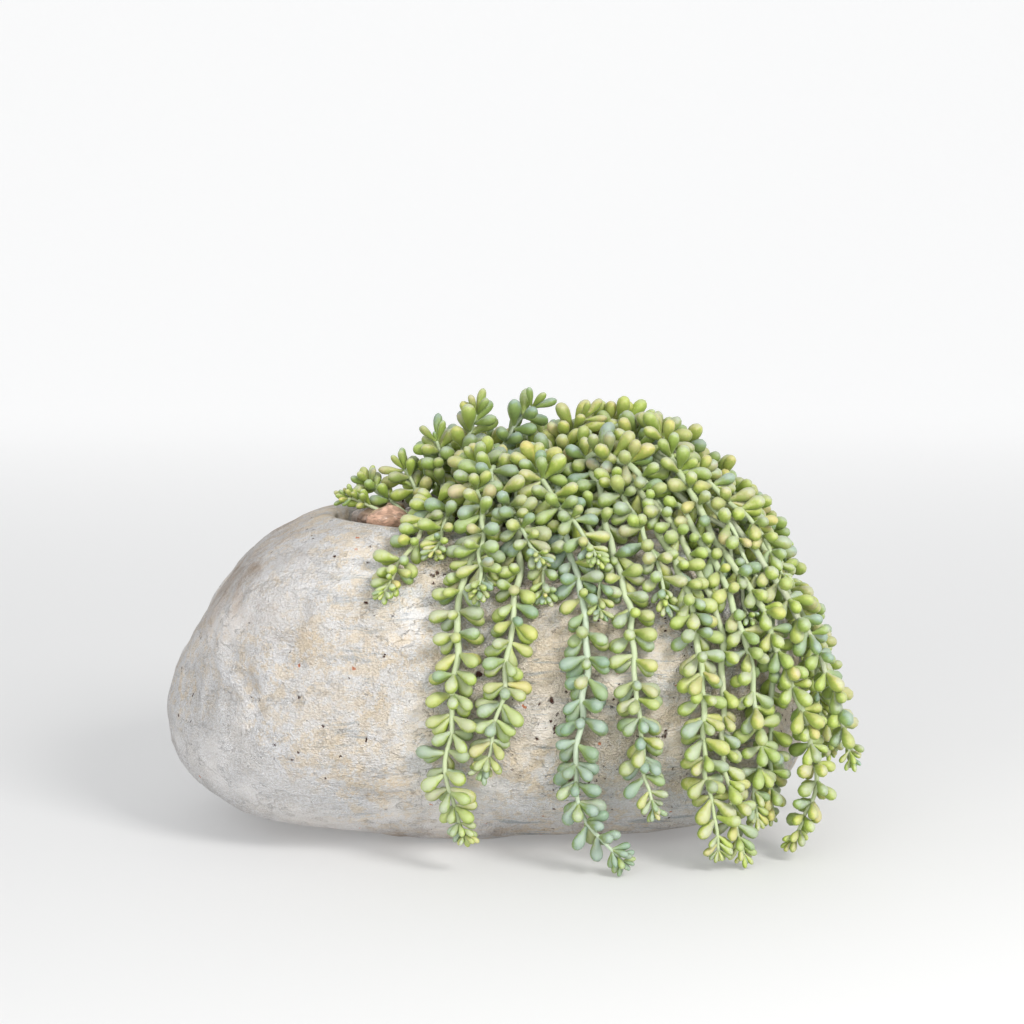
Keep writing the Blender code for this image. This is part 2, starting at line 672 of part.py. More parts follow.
def drop_crossed(lines, chosen, obstacles):
    """Leaves out the leaf that is nearest to each crossing, until nothing crosses."""
    while found := crossings(lines, chosen, obstacles):
        crossed = set()
        for place, stems in found:
            near = [((Vector(root + way * LEAF_BELLY * length) - place).length, stem, index)
                    for stem in stems for index, (_, root, way, length) in enumerate(chosen[stem])]
            crossed.add(min(near)[1:])
        chosen = [[leaf for index, leaf in enumerate(leaves) if (stem, index) not in crossed]
                  for stem, leaves in enumerate(chosen)]
    return chosen


# The pebbles

def make_pebble(name, place_on_soil, sizes, turn, ground, collection, finish):
    """A smooth flattened stone, lowered until it lies on the soil."""
    shape = bmesh.new()
    bmesh.ops.create_icosphere(shape, subdivisions=1, radius=1.0)
    for vertex in shape.verts:
        bulge = 1.0 + 0.08 * math.sin(5.0 * vertex.co.x + turn) * math.cos(4.0 * vertex.co.y)
        vertex.co = [part * size * bulge * MM for part, size in zip(vertex.co, sizes)]
    spin = Matrix.Rotation(math.radians(turn), 3, "Z")
    bmesh.ops.rotate(shape, cent=(0, 0, 0), matrix=spin, verts=shape.verts)
    drop_from = (place_on_soil[0] * MM, place_on_soil[1] * MM, PEBBLE_DROP)
    bmesh.ops.translate(shape, verts=shape.verts, vec=drop_from)
    drops = [ground.ray_cast(vertex.co, (0, 0, -1))[3] for vertex in shape.verts]
    fall = min(drop for drop in drops if drop is not None) - GAP
    bmesh.ops.translate(shape, verts=shape.verts, vec=(0, 0, -fall))
    return place(name, shape, collection, finish)


def main():
    clear_scene()
    scene = bpy.context.scene
    arrangement = bpy.data.collections.new("potted_sedum")
    cutters = bpy.data.collections.new("cutters")
    scene.collection.children.link(arrangement)
    scene.collection.children.link(cutters)

    lines = stem_lines()
    pot = make_pot(arrangement, material("pot_stone", (0.60, 0.55, 0.47), 0.85))
    soil = make_soil(arrangement, cutters, material("soil", (0.05, 0.035, 0.025), 0.95),
                     [line[0] for line in lines])
    ground = tree_of_object(soil)
    pebble_finish = material("pebble", (0.34, 0.20, 0.12), 0.35)
    pebbles = [
        make_pebble(f"pebble_{index + 1:02d}", where, sizes, turn, ground, arrangement, pebble_finish)
        for index, (where, sizes, turn) in enumerate(PEBBLES)
    ]
    obstacles = [ground] + [tree_of_object(obj) for obj in [pot] + pebbles]

    leaves = Leaves(lines, np.random.default_rng(SEED + 1))
    leaves.settle()
    finishes = [
        material("sedum_lime", (0.36, 0.47, 0.13), 0.5),
        material("sedum_blue_green", (0.27, 0.40, 0.26), 0.5),
        material("sedum_olive", (0.40, 0.38, 0.16), 0.5),
    ]
    chosen = drop_crossed(lines, choose_leaves(lines, leaves, obstacles), obstacles)
    for index, line in enumerate(lines):
        finish = finishes[index % len(finishes)]
        place(f"sedum_stem_{index + 1:02d}", stem_shape(line, chosen[index]), arrangement, finish)


main()
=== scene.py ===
import math

import bmesh
import bpy
import numpy as np
from mathutils import Matrix, Vector, noise
from mathutils.kdtree import KDTree


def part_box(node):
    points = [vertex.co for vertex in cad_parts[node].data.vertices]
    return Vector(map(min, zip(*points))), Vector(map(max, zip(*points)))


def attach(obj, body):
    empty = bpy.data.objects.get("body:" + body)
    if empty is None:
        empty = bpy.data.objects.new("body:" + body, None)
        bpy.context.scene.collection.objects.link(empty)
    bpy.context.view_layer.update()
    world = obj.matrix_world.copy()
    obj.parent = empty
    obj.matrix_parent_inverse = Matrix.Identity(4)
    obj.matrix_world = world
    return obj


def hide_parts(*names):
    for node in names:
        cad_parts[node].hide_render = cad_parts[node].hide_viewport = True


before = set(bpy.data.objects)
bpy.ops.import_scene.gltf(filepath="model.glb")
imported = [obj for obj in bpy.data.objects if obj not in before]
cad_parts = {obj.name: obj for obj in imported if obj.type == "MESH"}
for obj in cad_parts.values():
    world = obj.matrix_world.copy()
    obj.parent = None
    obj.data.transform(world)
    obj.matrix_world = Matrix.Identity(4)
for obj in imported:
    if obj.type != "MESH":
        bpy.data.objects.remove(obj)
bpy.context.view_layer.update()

MM = 0.001
# Blender's noise draws its vectors from a seed of its own, set here so that every run is alike.
NOISE_SEED = 3
noise.seed_set(NOISE_SEED)

# The studio
# A plain pale sheet that runs away from the camera and curves up into a backdrop and glows more towards the
# back as painted light, with a soft light above the right shoulder, a wider one low at the front, and an even
# white surround.

CAMERA_TARGET = Vector((0.012, 0.0, 0.125))
CAMERA_DISTANCE = 1.545
CAMERA_ELEVATION = math.radians(10.0)
LENS_LENGTH = 90.0
SENSOR_WIDTH = 36.0
LENS_SHIFT = 0.1002
LIGHT_AIM = (0.0, 0.0, 0.10)
SURROUND_STRENGTH = 0.64
lens = bpy.data.cameras.new("camera")
lens.lens = LENS_LENGTH
lens.sensor_width = SENSOR_WIDTH
lens.shift_y = LENS_SHIFT
camera = bpy.data.objects.new("camera", lens)
bpy.context.scene.collection.objects.link(camera)
camera_way = Vector((0.0, -math.cos(CAMERA_ELEVATION), math.sin(CAMERA_ELEVATION)))
camera.location = CAMERA_TARGET + CAMERA_DISTANCE * camera_way
camera.rotation_euler = (0.5 * math.pi - CAMERA_ELEVATION, 0.0, 0.0)
bpy.context.scene.camera = camera
bpy.context.scene.view_settings.view_transform = "Standard"


def soft_light(name, place, size, power, colour):
    """A square soft box at a place, turned towards the planter."""
    light = bpy.data.lights.new(name, "AREA")
    light.shape = "SQUARE"
    light.size = size
    light.energy = power
    light.color = colour
    box = bpy.data.objects.new(name, light)
    bpy.context.scene.collection.objects.link(box)
    box.location = place
    box.rotation_euler = (Vector(LIGHT_AIM) - Vector(place)).to_track_quat("-Z", "Y").to_euler()


soft_light("key", (0.88, -1.20, 1.10), 0.52, 21.5, (1.0, 0.985, 0.96))
soft_light("front", (-0.5, -1.9, 0.55), 1.4, 19.5, (1.0, 1.0, 1.0))
surround = bpy.data.worlds.new("surround")
surround.use_nodes = True
surround.node_tree.nodes["Background"].inputs["Color"].default_value = (0.97, 0.985, 1.0, 1.0)
surround.node_tree.nodes["Background"].inputs["Strength"].default_value = SURROUND_STRENGTH
bpy.context.scene.world = surround


def wire(tree, kind, inputs=(), **settings):
    """Adds a shader node with these settings. An input that is a socket is linked, any other is set."""
    node = tree.nodes.new("ShaderNode" + kind)
    for name, value in settings.items():
        setattr(node, name, value)
    for socket, value in dict(inputs).items():
        if isinstance(value, bpy.types.NodeSocket):
            tree.links.new(value, node.inputs[socket])
        else:
            node.inputs[socket].default_value = value
    return node


def new_finish(name, roughness, specular=0.5):
    """A material with its shader and the place in the object, for the piece's own section to wire."""
    made = bpy.data.materials.new(name)
    made.use_nodes = True
    shader = made.node_tree.nodes["Principled BSDF"]
    shader.inputs["Roughness"].default_value = roughness
    shader.inputs["Specular IOR Level"].default_value = specular
    return made, made.node_tree, shader, wire(made.node_tree, "TexCoord").outputs["Object"]


def finished(name, shape, materials, smooth=True):
    """Turns a built shape into an object at the origin, with its materials."""
    mesh = bpy.data.meshes.new(name)
    shape.to_mesh(mesh)
    shape.free()
    piece = bpy.data.objects.new(name, mesh)
    bpy.context.scene.collection.objects.link(piece)
    for made in materials:
        mesh.materials.append(made)
    if smooth:
        mesh.shade_smooth()
    return piece


SHEET_WIDTH = 9.0
SHEET_FRONT = -4.0
SHEET_BACK = 2.2
COVE_RADIUS = 1.2
COVE_BENDS = 24
SHEET_HEIGHT = 4.0
PAPER_GREY = (0.57, 0.57, 0.57, 1.0)
GLOW_SPAN = (0.2, 2.4)
PAPER_GLOW = (0.205, 0.49)
sheet = bmesh.new()
corners = [sheet.verts.new((x, SHEET_FRONT, 0.0)) for x in (-0.5 * SHEET_WIDTH, 0.5 * SHEET_WIDTH)]
edge = [sheet.edges.new(corners)]


def drawn_on(shape, edges, step):
    """Draws edges out into a strip and gives the strip's far edges."""
    made = bmesh.ops.extrude_edge_only(shape, edges=edges)["geom"]
    bmesh.ops.translate(shape, verts=[v for v in made if isinstance(v, bmesh.types.BMVert)], vec=step)
    return [e for e in made if isinstance(e, bmesh.types.BMEdge)]


edge = drawn_on(sheet, edge, (0.0, SHEET_BACK - SHEET_FRONT, 0.0))
cove_turns = np.linspace(0.0, 0.5 * math.pi, COVE_BENDS + 1)
bends = [COVE_RADIUS * Vector((0.0, math.sin(turn), 1.0 - math.cos(turn))) for turn in cove_turns]
for low, high in zip(bends[:-1], bends[1:]):
    edge = drawn_on(sheet, edge, high - low)
drawn_on(sheet, edge, (0.0, 0.0, SHEET_HEIGHT))
bmesh.ops.recalc_face_normals(sheet, faces=sheet.faces)
paper, tree, shader, where = new_finish("pale_paper", 0.75, 0.2)
shader.inputs["Base Color"].default_value = PAPER_GREY
# Painted light: the sheet glows, faintly in front and round the planter and more towards the back, which
# keeps the backdrop white.
depth = wire(tree, "SeparateXYZ", {"Vector": where}).outputs["Y"]
glow = wire(tree, "MapRange", {"Value": depth, "From Min": GLOW_SPAN[0], "From Max": GLOW_SPAN[1],
                               "To Min": PAPER_GLOW[0], "To Max": PAPER_GLOW[1]}).outputs["Result"]
shader.inputs["Emission Color"].default_value = (1.0, 1.0, 1.0, 1.0)
tree.links.new(glow, shader.inputs["Emission Strength"])
floor = finished("floor_sheet", sheet, [paper])

# The planter
# A boulder-shaped pot of cast stone, about 390 mm long, with an oval mouth in its top. It is limewashed
# over a cream ground that is stippled like plaster, with dents, scratches and small dark pits.

HEART = np.array([5.0, 0.0, 92.0]) * MM
ROUNDNESS = 9.0
FLATS = (
    ((-1.00, 0.00, 0.05), 236.5),
    ((-0.86, 0.00, 0.51), 183.0),
    ((-0.52, 0.00, 0.85), 149.0),
    ((0.00, 0.00, 1.00), 104.5),
    ((-0.85, 0.00, -0.52), 231.0),
    ((-0.30, 0.00, -0.95), 123.5),
    ((0.00, 0.00, -1.00), 97.5),
    ((0.29, 0.00, -0.96), 121.0),
    ((0.86, 0.00, -0.52), 212.5),
    ((1.00, 0.00, 0.10), 194.5),
    ((0.75, 0.00, 0.66), 162.0),
    ((0.00, -1.00, 0.05), 128.0),
    ((0.00, 1.00, 0.05), 128.0),
    ((0.00, -0.66, 0.75), 124.0),
    ((0.00, 0.66, 0.75), 124.0),
    ((0.00, -0.66, -0.75), 118.0),
    ((0.00, 0.66, -0.75), 118.0),
    ((-0.72, -0.69, 0.00), 180.0),
    ((-0.72, 0.69, 0.00), 180.0),
    ((0.72, -0.69, 0.00), 172.0),
    ((0.72, 0.69, 0.00), 172.0),
)
FLAT_NORMALS = np.array([np.array(n) / np.linalg.norm(n) for n, _ in FLATS])
FLAT_DISTANCES = np.array([d for _, d in FLATS]) * MM
MOUTH_LONG = 97.0 * MM
MOUTH_WIDE = 60.0 * MM
MOUTH_NOTCH = 0.17
MOUTH_NOTCH_TURN = math.radians(216.0)
MOUTH_NOTCH_SHARPNESS = 8
LIP_ROUND = 7.0 * MM
LIP_CREST = 0.8 * MM
LIP_HALVINGS = 30
LIP_FADE = 0.06
LEAST_RELIEF = 0.25
BOWL_FLOOR_Z = 62.0 * MM
BOWL_TOP_Z = 184.0 * MM
BOWL_WALL_FULLNESS = 0.6
BOWL_FLOOR_FLATNESS = 1.7
STONE_TURNS = 440
SKIN_ROWS = 188
LIP_ROWS = 9
BOWL_ROWS = 16


def unit(vectors):
    return vectors / np.maximum(np.linalg.norm(vectors, axis=-1, keepdims=True), 1e-9)


def stone_share(points, lift=0.0):
    """Under 1 inside the boulder, 1 on a skin that stands the lift off it."""
    share = np.maximum(0.0, (points - HEART) @ FLAT_NORMALS.T) / (FLAT_DISTANCES + lift)
    return (share ** ROUNDNESS).sum(-1) ** (1.0 / ROUNDNESS)


def over_mouth(points, share):
    """Whether points stand over this share of the mouth's oval."""
    return np.hypot((points[:, 0] - HEART[0]) / MOUTH_LONG, points[:, 1] / MOUTH_WIDE) < share


def mouth_radius(turn):
    """Distance from the heart's upright line to the mouth's edge, at an angle round it."""
    oval = 1.0 / np.hypot(np.cos(turn) / MOUTH_LONG, np.sin(turn) / MOUTH_WIDE)
    notch = MOUTH_NOTCH * np.maximum(0.0, np.cos(turn - MOUTH_NOTCH_TURN)) ** MOUTH_NOTCH_SHARPNESS
    return oval * (1.0 + 0.025 * np.sin(3.0 * turn + 0.8) + 0.012 * np.sin(5.0 * turn) + notch)


def skin_points(turn, polar):
    """Points on the boulder's skin, at angles round the upright and up from straight down."""
    ways = np.stack([np.sin(polar) * np.cos(turn), np.sin(polar) * np.sin(turn), -np.cos(polar)], axis=-1)
    return HEART + ways / stone_share(HEART + ways)[..., None]


def lip_polar(turn):
    """The angle up from straight down at which the skin reaches the lip."""
    low, high = np.full_like(turn, 0.5 * math.pi), np.full_like(turn, math.pi)
    for _ in range(LIP_HALVINGS):
        middle = 0.5 * (low + high)
        reach = np.linalg.norm((skin_points(turn, middle) - HEART)[..., :2], axis=-1)
        outside = reach > mouth_radius(turn) + LIP_ROUND
        low, high = np.where(outside, middle, low), np.where(outside, high, middle)
    return low


def bowl_points(turn, down, shrink=0.0):
    """Points on the bowl's wall, from 0 at its top down to 1 at the middle of its floor."""
    fall = 0.5 * math.pi * down
    reach = (mouth_radius(turn) - shrink) * np.maximum(np.cos(fall), 0.0) ** BOWL_WALL_FULLNESS
    depth = (BOWL_TOP_Z - BOWL_FLOOR_Z - shrink) * np.sin(fall) ** BOWL_FLOOR_FLATNESS
    wall = np.stack([reach * np.cos(turn), reach * np.sin(turn), BOWL_TOP_Z - depth], axis=-1)
    return HEART * (1, 1, 0) + wall


def rows_and_turns(shape, rows):
    """The row of each point of a sphere, counted from its lowest, and its angle round the upright."""
    places = np.array([vertex.co for vertex in shape.verts])
    row = np.rint(np.arccos(np.clip(-places[:, 2], -1.0, 1.0)) / math.pi * rows).astype(int)
    turn = np.where((row > 0) & (row < rows), np.arctan2(places[:, 1], places[:, 0]), 0.0)
    return row, turn


# Hollows worn into the stone: middle (x, y, z), radius and depth, in mm.
DENTS = (
    ((-104, -118, 122), 36, 4.2),
    ((-132, -92, 92), 24, 3.0),
    ((-176, -8, 132), 24, 1.4),
    ((-118, 0, 184), 24, 2.2),
    ((-166, -60, 122), 26, 2.4),
    ((-62, -122, 148), 26, 2.2),
    ((-30, -127, 62), 34, 2.0),
    ((48, -126, 118), 30, 2.0),
    ((110, -118, 60), 28, 2.2),
    ((-80, 118, 110), 36, 3.6),
    ((60, 122, 90), 30, 2.4),
    ((170, 60, 90), 26, 2.0),
)
# Places where the stone is chipped into small facets: middle (x, y, z) and radius, in mm.
CHIPPED = (((-142, -88, 98), 34), ((-96, -118, 132), 30), ((-70, 116, 120), 38))
CHIP_SIZE = 17.0 * MM
CHIP_DEPTH = 8.5 * MM
CHIP_LEVEL = 0.62
CHIP_BEND = 6.0 * MM
SWELL_HEIGHT = 1.5 * MM
LEDGE_HEIGHT = 0.75 * MM
LEDGE_SHARPNESS = 9.0
STROKE_HEIGHT = 0.75 * MM
STROKE_LEVEL = 0.95 * MM
GRIT_HEIGHT = 0.28 * MM


def relief(point):
    """How far the stone's skin stands out at a point: swells, worn hollows, chips, ledges and strokes."""
    place = Vector(point)
    height = SWELL_HEIGHT * noise.noise(place * 13.0 + Vector((3.1, 0.0, 7.0)))
    for middle, radius, depth in DENTS:
        away = (place - Vector(middle) * MM).length / (radius * MM)
        height -= depth * MM * math.exp(-1.4 * away * away)
    chipped = sum(math.exp(-1.2 * ((place - Vector(middle) * MM).length / (radius * MM)) ** 2)
                  for middle, radius in CHIPPED)
    if chipped > 0.02:
        bent = place + CHIP_BEND * noise.noise_vector(place * 40.0)
        height += CHIP_DEPTH * chipped * (noise.voronoi(bent / CHIP_SIZE)[0][0] - CHIP_LEVEL)
    layers = Vector((place.x * 20.0 + place.z * 9.0, place.y * 20.0, place.z * 34.0))
    height += LEDGE_HEIGHT * math.tanh(LEDGE_SHARPNESS * noise.noise(layers + Vector((0.0, 4.7, 1.3))))
    strokes = Vector((place.x * 26.0 + place.z * 20.0, place.y * 40.0, place.z * 58.0 - place.x * 14.0))
    height += STROKE_HEIGHT * noise.ridged_multi_fractal(strokes, 0.9, 2.1, 3, 0.9, 1.6) - STROKE_LEVEL
    return height + GRIT_HEIGHT * noise.noise(place * 190.0)


stone_rows = SKIN_ROWS + LIP_ROWS + BOWL_ROWS
shape = bmesh.new()
bmesh.ops.create_uvsphere(shape, u_segments=STONE_TURNS, v_segments=stone_rows, radius=1.0)
row, turn = rows_and_turns(shape, stone_rows)
lip = lip_polar(turn)
skin = skin_points(turn, lip * np.minimum(row, SKIN_ROWS) / SKIN_ROWS)
outward = unit(skin - HEART)
worn = np.array([relief(point) for point in skin])
lip_fade = np.clip((SKIN_ROWS - row) / (LIP_FADE * SKIN_ROWS), LEAST_RELIEF, 1.0)
skin += outward * (worn * lip_fade)[:, None]
skin[:, 2] = np.maximum(skin[:, 2], 0.0)
wall = bowl_points(turn, np.clip((row - SKIN_ROWS - LIP_ROWS) / BOWL_ROWS, 0.0, 1.0))
over = np.clip((row - SKIN_ROWS) / LIP_ROWS, 0.0, 1.0)[:, None]
crest = np.concatenate([wall[:, :2], skin[:, 2:] + LIP_CREST], axis=1)
rounded = (1 - over) ** 2 * skin + 2 * over * (1 - over) * crest + over ** 2 * wall
inner = np.where((row < SKIN_ROWS + LIP_ROWS)[:, None], rounded, wall)
places = np.where((row <= SKIN_ROWS)[:, None], skin, inner)
for vertex, place in zip(shape.verts, places):
    vertex.co = place

CREAM = (0.83, 0.73, 0.59, 1.0)
LIMEWASH = (0.825, 0.825, 0.84, 1.0)
CLAY = (0.50, 0.385, 0.29, 1.0)
SLATE = (0.29, 0.35, 0.40, 1.0)
PIT = (0.095, 0.040, 0.030, 1.0)
ORANGE_SPECK = (0.60, 0.25, 0.14, 1.0)
PAINTED_HOLLOW_SHADE = (0.84, 0.81, 0.77, 1.0)
BLOTCH_TINT = (0.92, 0.90, 0.87, 1.0)
PEAK_LIGHT_AND_CLEAN_TONE = (1.04, 1.04, 1.04, 1.0)
SPOT_WOBBLE = 0.004
# Depths and heights in the stone's fine relief, as shares of STONE_BUMP.
PIT_DEPTH = 0.9
STREAK_HEIGHT = 0.10
COAT_HEIGHT = 0.28
STONE_BUMP = 3.0 * MM
# Where the stone is pitted most: middle (x, y, z) and radius, in mm.
PITTED = (
    ((73, -127, 106), 16),
    ((38, -128, 94), 15),
    ((90, -122, 70), 16),
    ((68, -124, 50), 18),
    ((38, -126, 44), 15),
    ((165, -60, 75), 18),
    ((18, -124, 33), 13),
    ((-28, -112, 172), 18),
    ((-8, -128, 104), 15),
    ((-34, -125, 45), 14),
    ((-136, -90, 136), 6),
    ((20, 124, 80), 22),
    ((-90, 112, 60), 20),
)


def grain(where, scale, detail=4.0, roughness=0.55, distortion=0.0):
    """A noise pattern, scale in cycles a metre."""
    return wire(where.id_data, "TexNoise", {"Vector": where, "Scale": scale, "Detail": detail,
                                            "Roughness": roughness, "Distortion": distortion}).outputs["Fac"]


def between(value, low, high, out_low=0.0, out_high=1.0):
    """Where a value lies between two others, eased at both ends."""
    ends = {"Value": value, "From Min": low, "From Max": high, "To Min": out_low, "To Max": out_high}
    return wire(value.id_data, "MapRange", ends, interpolation_type="SMOOTHSTEP").outputs[0]


def mixed(share, first, second, blend="MIX"):
    """One colour laid over another by a share."""
    tree = next(part.id_data for part in (share, first) if isinstance(part, bpy.types.NodeSocket))
    return wire(tree, "Mix", {0: share, 6: first, 7: second}, data_type="RGBA", blend_type=blend).outputs[2]


def combined(operation, first, second):
    """Two numbers worked into one, such as the larger of the two."""
    return wire(first.id_data, "Math", {0: first, 1: second}, operation=operation).outputs[0]


def product(first, second):
    return combined("MULTIPLY", first, second)


def added(first, second):
    return combined("ADD", first, second)


def dress(shader, colour, height, strength, distance):
    """Gives a finish its colour and the fine relief of a height pattern."""
    tree = colour.id_data
    tree.links.new(colour, shader.inputs["Base Color"])
    bump = wire(tree, "Bump", {"Height": height, "Strength": strength, "Distance": distance})
    tree.links.new(bump.outputs["Normal"], shader.inputs["Normal"])


def stretched(where, scale, rotation=(0.0, 0.0, 0.0)):
    return wire(where.id_data, "Mapping", {"Vector": where, "Scale": scale, "Rotation": rotation}).outputs[0]


def spots(where, scale, size, chance):
    """Small round spots: one in a cell, in this share of the cells, with a soft edge."""
    tree = where.id_data
    wobble = wire(tree, "TexNoise", {"Vector": where, "Scale": scale * 3.0, "Detail": 2.0}).outputs["Color"]
    shifted = wire(tree, "Mix", {0: SPOT_WOBBLE, 4: where, 5: wobble}, data_type="VECTOR").outputs[1]
    cells = wire(tree, "TexVoronoi", {"Vector": shifted, "Scale": scale, "Randomness": 1.0})
    near = between(cells.outputs["Distance"], size, 0.55 * size)
    pick = wire(tree, "SeparateColor", {"Color": cells.outputs["Color"]}).outputs["Red"]
    return product(near, combined("GREATER_THAN", pick, 1.0 - chance))


def axis_of(where, name):
    return wire(where.id_data, "SeparateXYZ", {"Vector": where}).outputs[name]


limewashed, tree, shader, where = new_finish("limewashed_stone", 0.86, 0.28)
across, height = axis_of(where, "X"), axis_of(where, "Z")
ground = added(grain(where, 9.0, 5.0, 0.6, 0.4), between(across, -0.16, -0.05, -0.10, 0.12))
# More limewash low down: partly the wash's own bluish white, partly painted light that brightens the stone's
# shaded underside.
ground = added(ground, between(height, 0.03, 0.09, -0.22, 0.0))
ground = added(ground, between(height, 0.12, 0.17, 0.0, -0.06))
flecks = between(grain(where, 120.0, 9.0, 0.76, 0.2), 0.44, 0.58, -0.13, 0.13)
creamy = between(added(ground, flecks), 0.34, 0.66)
colour = mixed(creamy, LIMEWASH, CREAM)
brushed = stretched(where, (15.0, 15.0, 150.0), (0.0, 0.16, 0.0))
streaks = between(grain(brushed, 1.0, 8.0, 0.7, 0.5), 0.52, 0.66, 0.0, 0.55)
colour = mixed(streaks, colour, LIMEWASH)
foot = between(height, 0.026, 0.002, 0.0, 0.8)
seep = product(between(across, -0.03, 0.04), between(height, 0.11, 0.17, 0.0, 0.45))
# Clay on the upper left shoulder: partly tan dirt, partly painted shade that darkens the top of the stone.
shoulder_dirt_and_shade = product(between(across, -0.08, -0.15), between(height, 0.10, 0.17, 0.0, 1.0))
stain = between(grain(where, 26.0, 8.0, 0.7, 0.6), 0.44, 0.62, 0.15, 1.0)
colour = mixed(product(added(added(foot, seep), shoulder_dirt_and_shade), stain), colour, CLAY)
scratched = stretched(where, (26.0, 26.0, 210.0), (0.0, -0.10, 0.0))
dashes = between(grain(scratched, 1.0, 6.0, 0.72, 0.8), 0.53, 0.63, 0.0, 0.8)
dashed = product(between(grain(where, 18.0, 2.0), 0.46, 0.58), between(across, -0.12, -0.05, 0.12, 0.9))
colour = mixed(product(dashes, dashed), colour, SLATE)
plaster = grain(where, 980.0, 4.0, 0.62)
blisters = stretched(where, (620.0, 620.0, 900.0))
peel = wire(tree, "TexVoronoi", {"Vector": blisters, "Scale": 1.0}).outputs["Distance"]
rough = added(product(plaster, 0.9), product(peel, -0.45))
smoother = between(grain(where, 14.0, 3.0, 0.6), 0.38, 0.56, 0.35, 1.0)
rough = product(rough, smoother)
coats = grain(stretched(where, (24.0, 24.0, 36.0), (0.0, 0.5, 0.0)), 1.0, 9.0, 0.62, 0.4)
top_coat = added(between(coats, 0.425, 0.440), between(coats, 0.560, 0.572))
# Painted shade and painted highlight: the colour is darkened in the hollows of the plaster's relief and
# lightened on its peaks. Random blotches darken it too.
painted_shade_in_hollows = between(rough, 0.02, 0.40)
dark_blotches = between(grain(where, 34.0, 8.0, 0.74, 0.3), 0.36, 0.60)
for share, shade in ((painted_shade_in_hollows, PAINTED_HOLLOW_SHADE), (dark_blotches, BLOTCH_TINT)):
    colour = mixed(1.0, colour, mixed(share, shade, PEAK_LIGHT_AND_CLEAN_TONE), "MULTIPLY")
colour = mixed(product(top_coat, 0.16), colour, LIMEWASH)
pitted = between(grain(where, 17.0, 2.0), 0.42, 0.54)
worst = 0.0
for middle, radius in PITTED:
    away = wire(tree, "VectorMath", {0: where, 1: Vector(middle) * MM}, operation="DISTANCE").outputs["Value"]
    worst = combined("MAXIMUM", between(away, 1.1 * radius * MM, 0.7 * radius * MM), worst)
colour = mixed(spots(where, 95.0, 0.14, 0.10), colour, ORANGE_SPECK)
pits = 0.0
for scale, size, chance, share in (
        (210.0, 0.23, 0.18, pitted), (270.0, 0.27, 0.4, worst), (120.0, 0.28, 0.7, worst)):
    pits = combined("MAXIMUM", product(spots(where, scale, size, chance), share), pits)
colour = mixed(pits, colour, PIT)
deep = added(rough, product(pits, -PIT_DEPTH))
deep = added(deep, product(streaks, STREAK_HEIGHT))
deep = added(deep, product(top_coat, COAT_HEIGHT))
dress(shader, colour, deep, 1.0, STONE_BUMP)
planter = finished("planter_stone", shape, [limewashed])
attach(planter, "root")
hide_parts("planter")

# The soil
# Dark, crumbly potting soil, domed a little in the bowl, with bits of bark and grit in it.

SOIL_TURNS = 96
SOIL_FILL_ROWS = 8
SOIL_DOME_ROWS = 26
SOIL_EDGE = 0.125
SOIL_DOME = 7.0 * MM
SOIL_GAP = 0.35 * MM
CRUMBS = 420
CRUMB_SIZES = (0.7 * MM, 2.0 * MM)
CRUMB_REACH = 0.86
CRUMB_STRETCH = (0.5, 1.3)
CRUMB_SPIN = 6.3
CRUMB_TILT = 1.2
CRUMB_RISE = 0.3
CRUMB_SEED = 5
LUMP_HEIGHT = 1.1 * MM
rng = np.random.default_rng(CRUMB_SEED)
soil_rows = SOIL_FILL_ROWS + SOIL_DOME_ROWS
shape = bmesh.new()
bmesh.ops.create_uvsphere(shape, u_segments=SOIL_TURNS, v_segments=soil_rows, radius=1.0)
row, turn = rows_and_turns(shape, soil_rows)
down = 1.0 - (1.0 - SOIL_EDGE) * np.clip(row / SOIL_FILL_ROWS, 0.0, 1.0)
bed = bowl_points(turn, down, SOIL_GAP)
soil_top = bowl_points(turn, np.full_like(turn, SOIL_EDGE), SOIL_GAP)
inward = np.clip((row - SOIL_FILL_ROWS) / SOIL_DOME_ROWS, 0.0, 1.0)
soil_middle = HEART * (1, 1, 0) + np.array([0, 0, 1.0]) * (soil_top[0, 2] + SOIL_DOME)
dome = soil_top + (soil_middle - soil_top) * inward[:, None]
dome[:, 2] = soil_top[:, 2] + SOIL_DOME * np.sin(0.5 * math.pi * inward)
places = np.where((row <= SOIL_FILL_ROWS)[:, None], bed, dome)
for vertex, place, height in zip(shape.verts, places, inward):
    lump = noise.noise(Vector(place) * 160.0) + 0.6 * noise.noise(Vector(place) * 420.0)
    vertex.co = Vector(place) + Vector((0.0, 0.0, LUMP_HEIGHT * lump * min(1.0, 5.0 * height)))


def soil_height(x, y):
    """The dome's height at a place over the bowl."""
    away = math.hypot((x - HEART[0]) / MOUTH_LONG, y / MOUTH_WIDE)
    return soil_top[0, 2] + SOIL_DOME * math.sin(0.5 * math.pi * max(0.0, 1.0 - away))


for _ in range(CRUMBS):
    angle, out = rng.uniform(0.0, 2.0 * math.pi), math.sqrt(rng.uniform(0.0, CRUMB_REACH))
    x, y = HEART[0] + MOUTH_LONG * out * math.cos(angle), MOUTH_WIDE * out * math.sin(angle)
    size = rng.uniform(*CRUMB_SIZES)
    crumb = bmesh.ops.create_icosphere(shape, subdivisions=1, radius=size)["verts"]
    stretch = Matrix.Diagonal(rng.uniform(*CRUMB_STRETCH, 3))
    spin = Matrix.Rotation(rng.uniform(0.0, CRUMB_SPIN), 3, "Z")
    spin = spin @ Matrix.Rotation(rng.uniform(0.0, CRUMB_TILT), 3, "X")
    for vertex in crumb:
        vertex.co = spin @ stretch @ vertex.co + Vector((x, y, soil_height(x, y) + CRUMB_RISE * size))

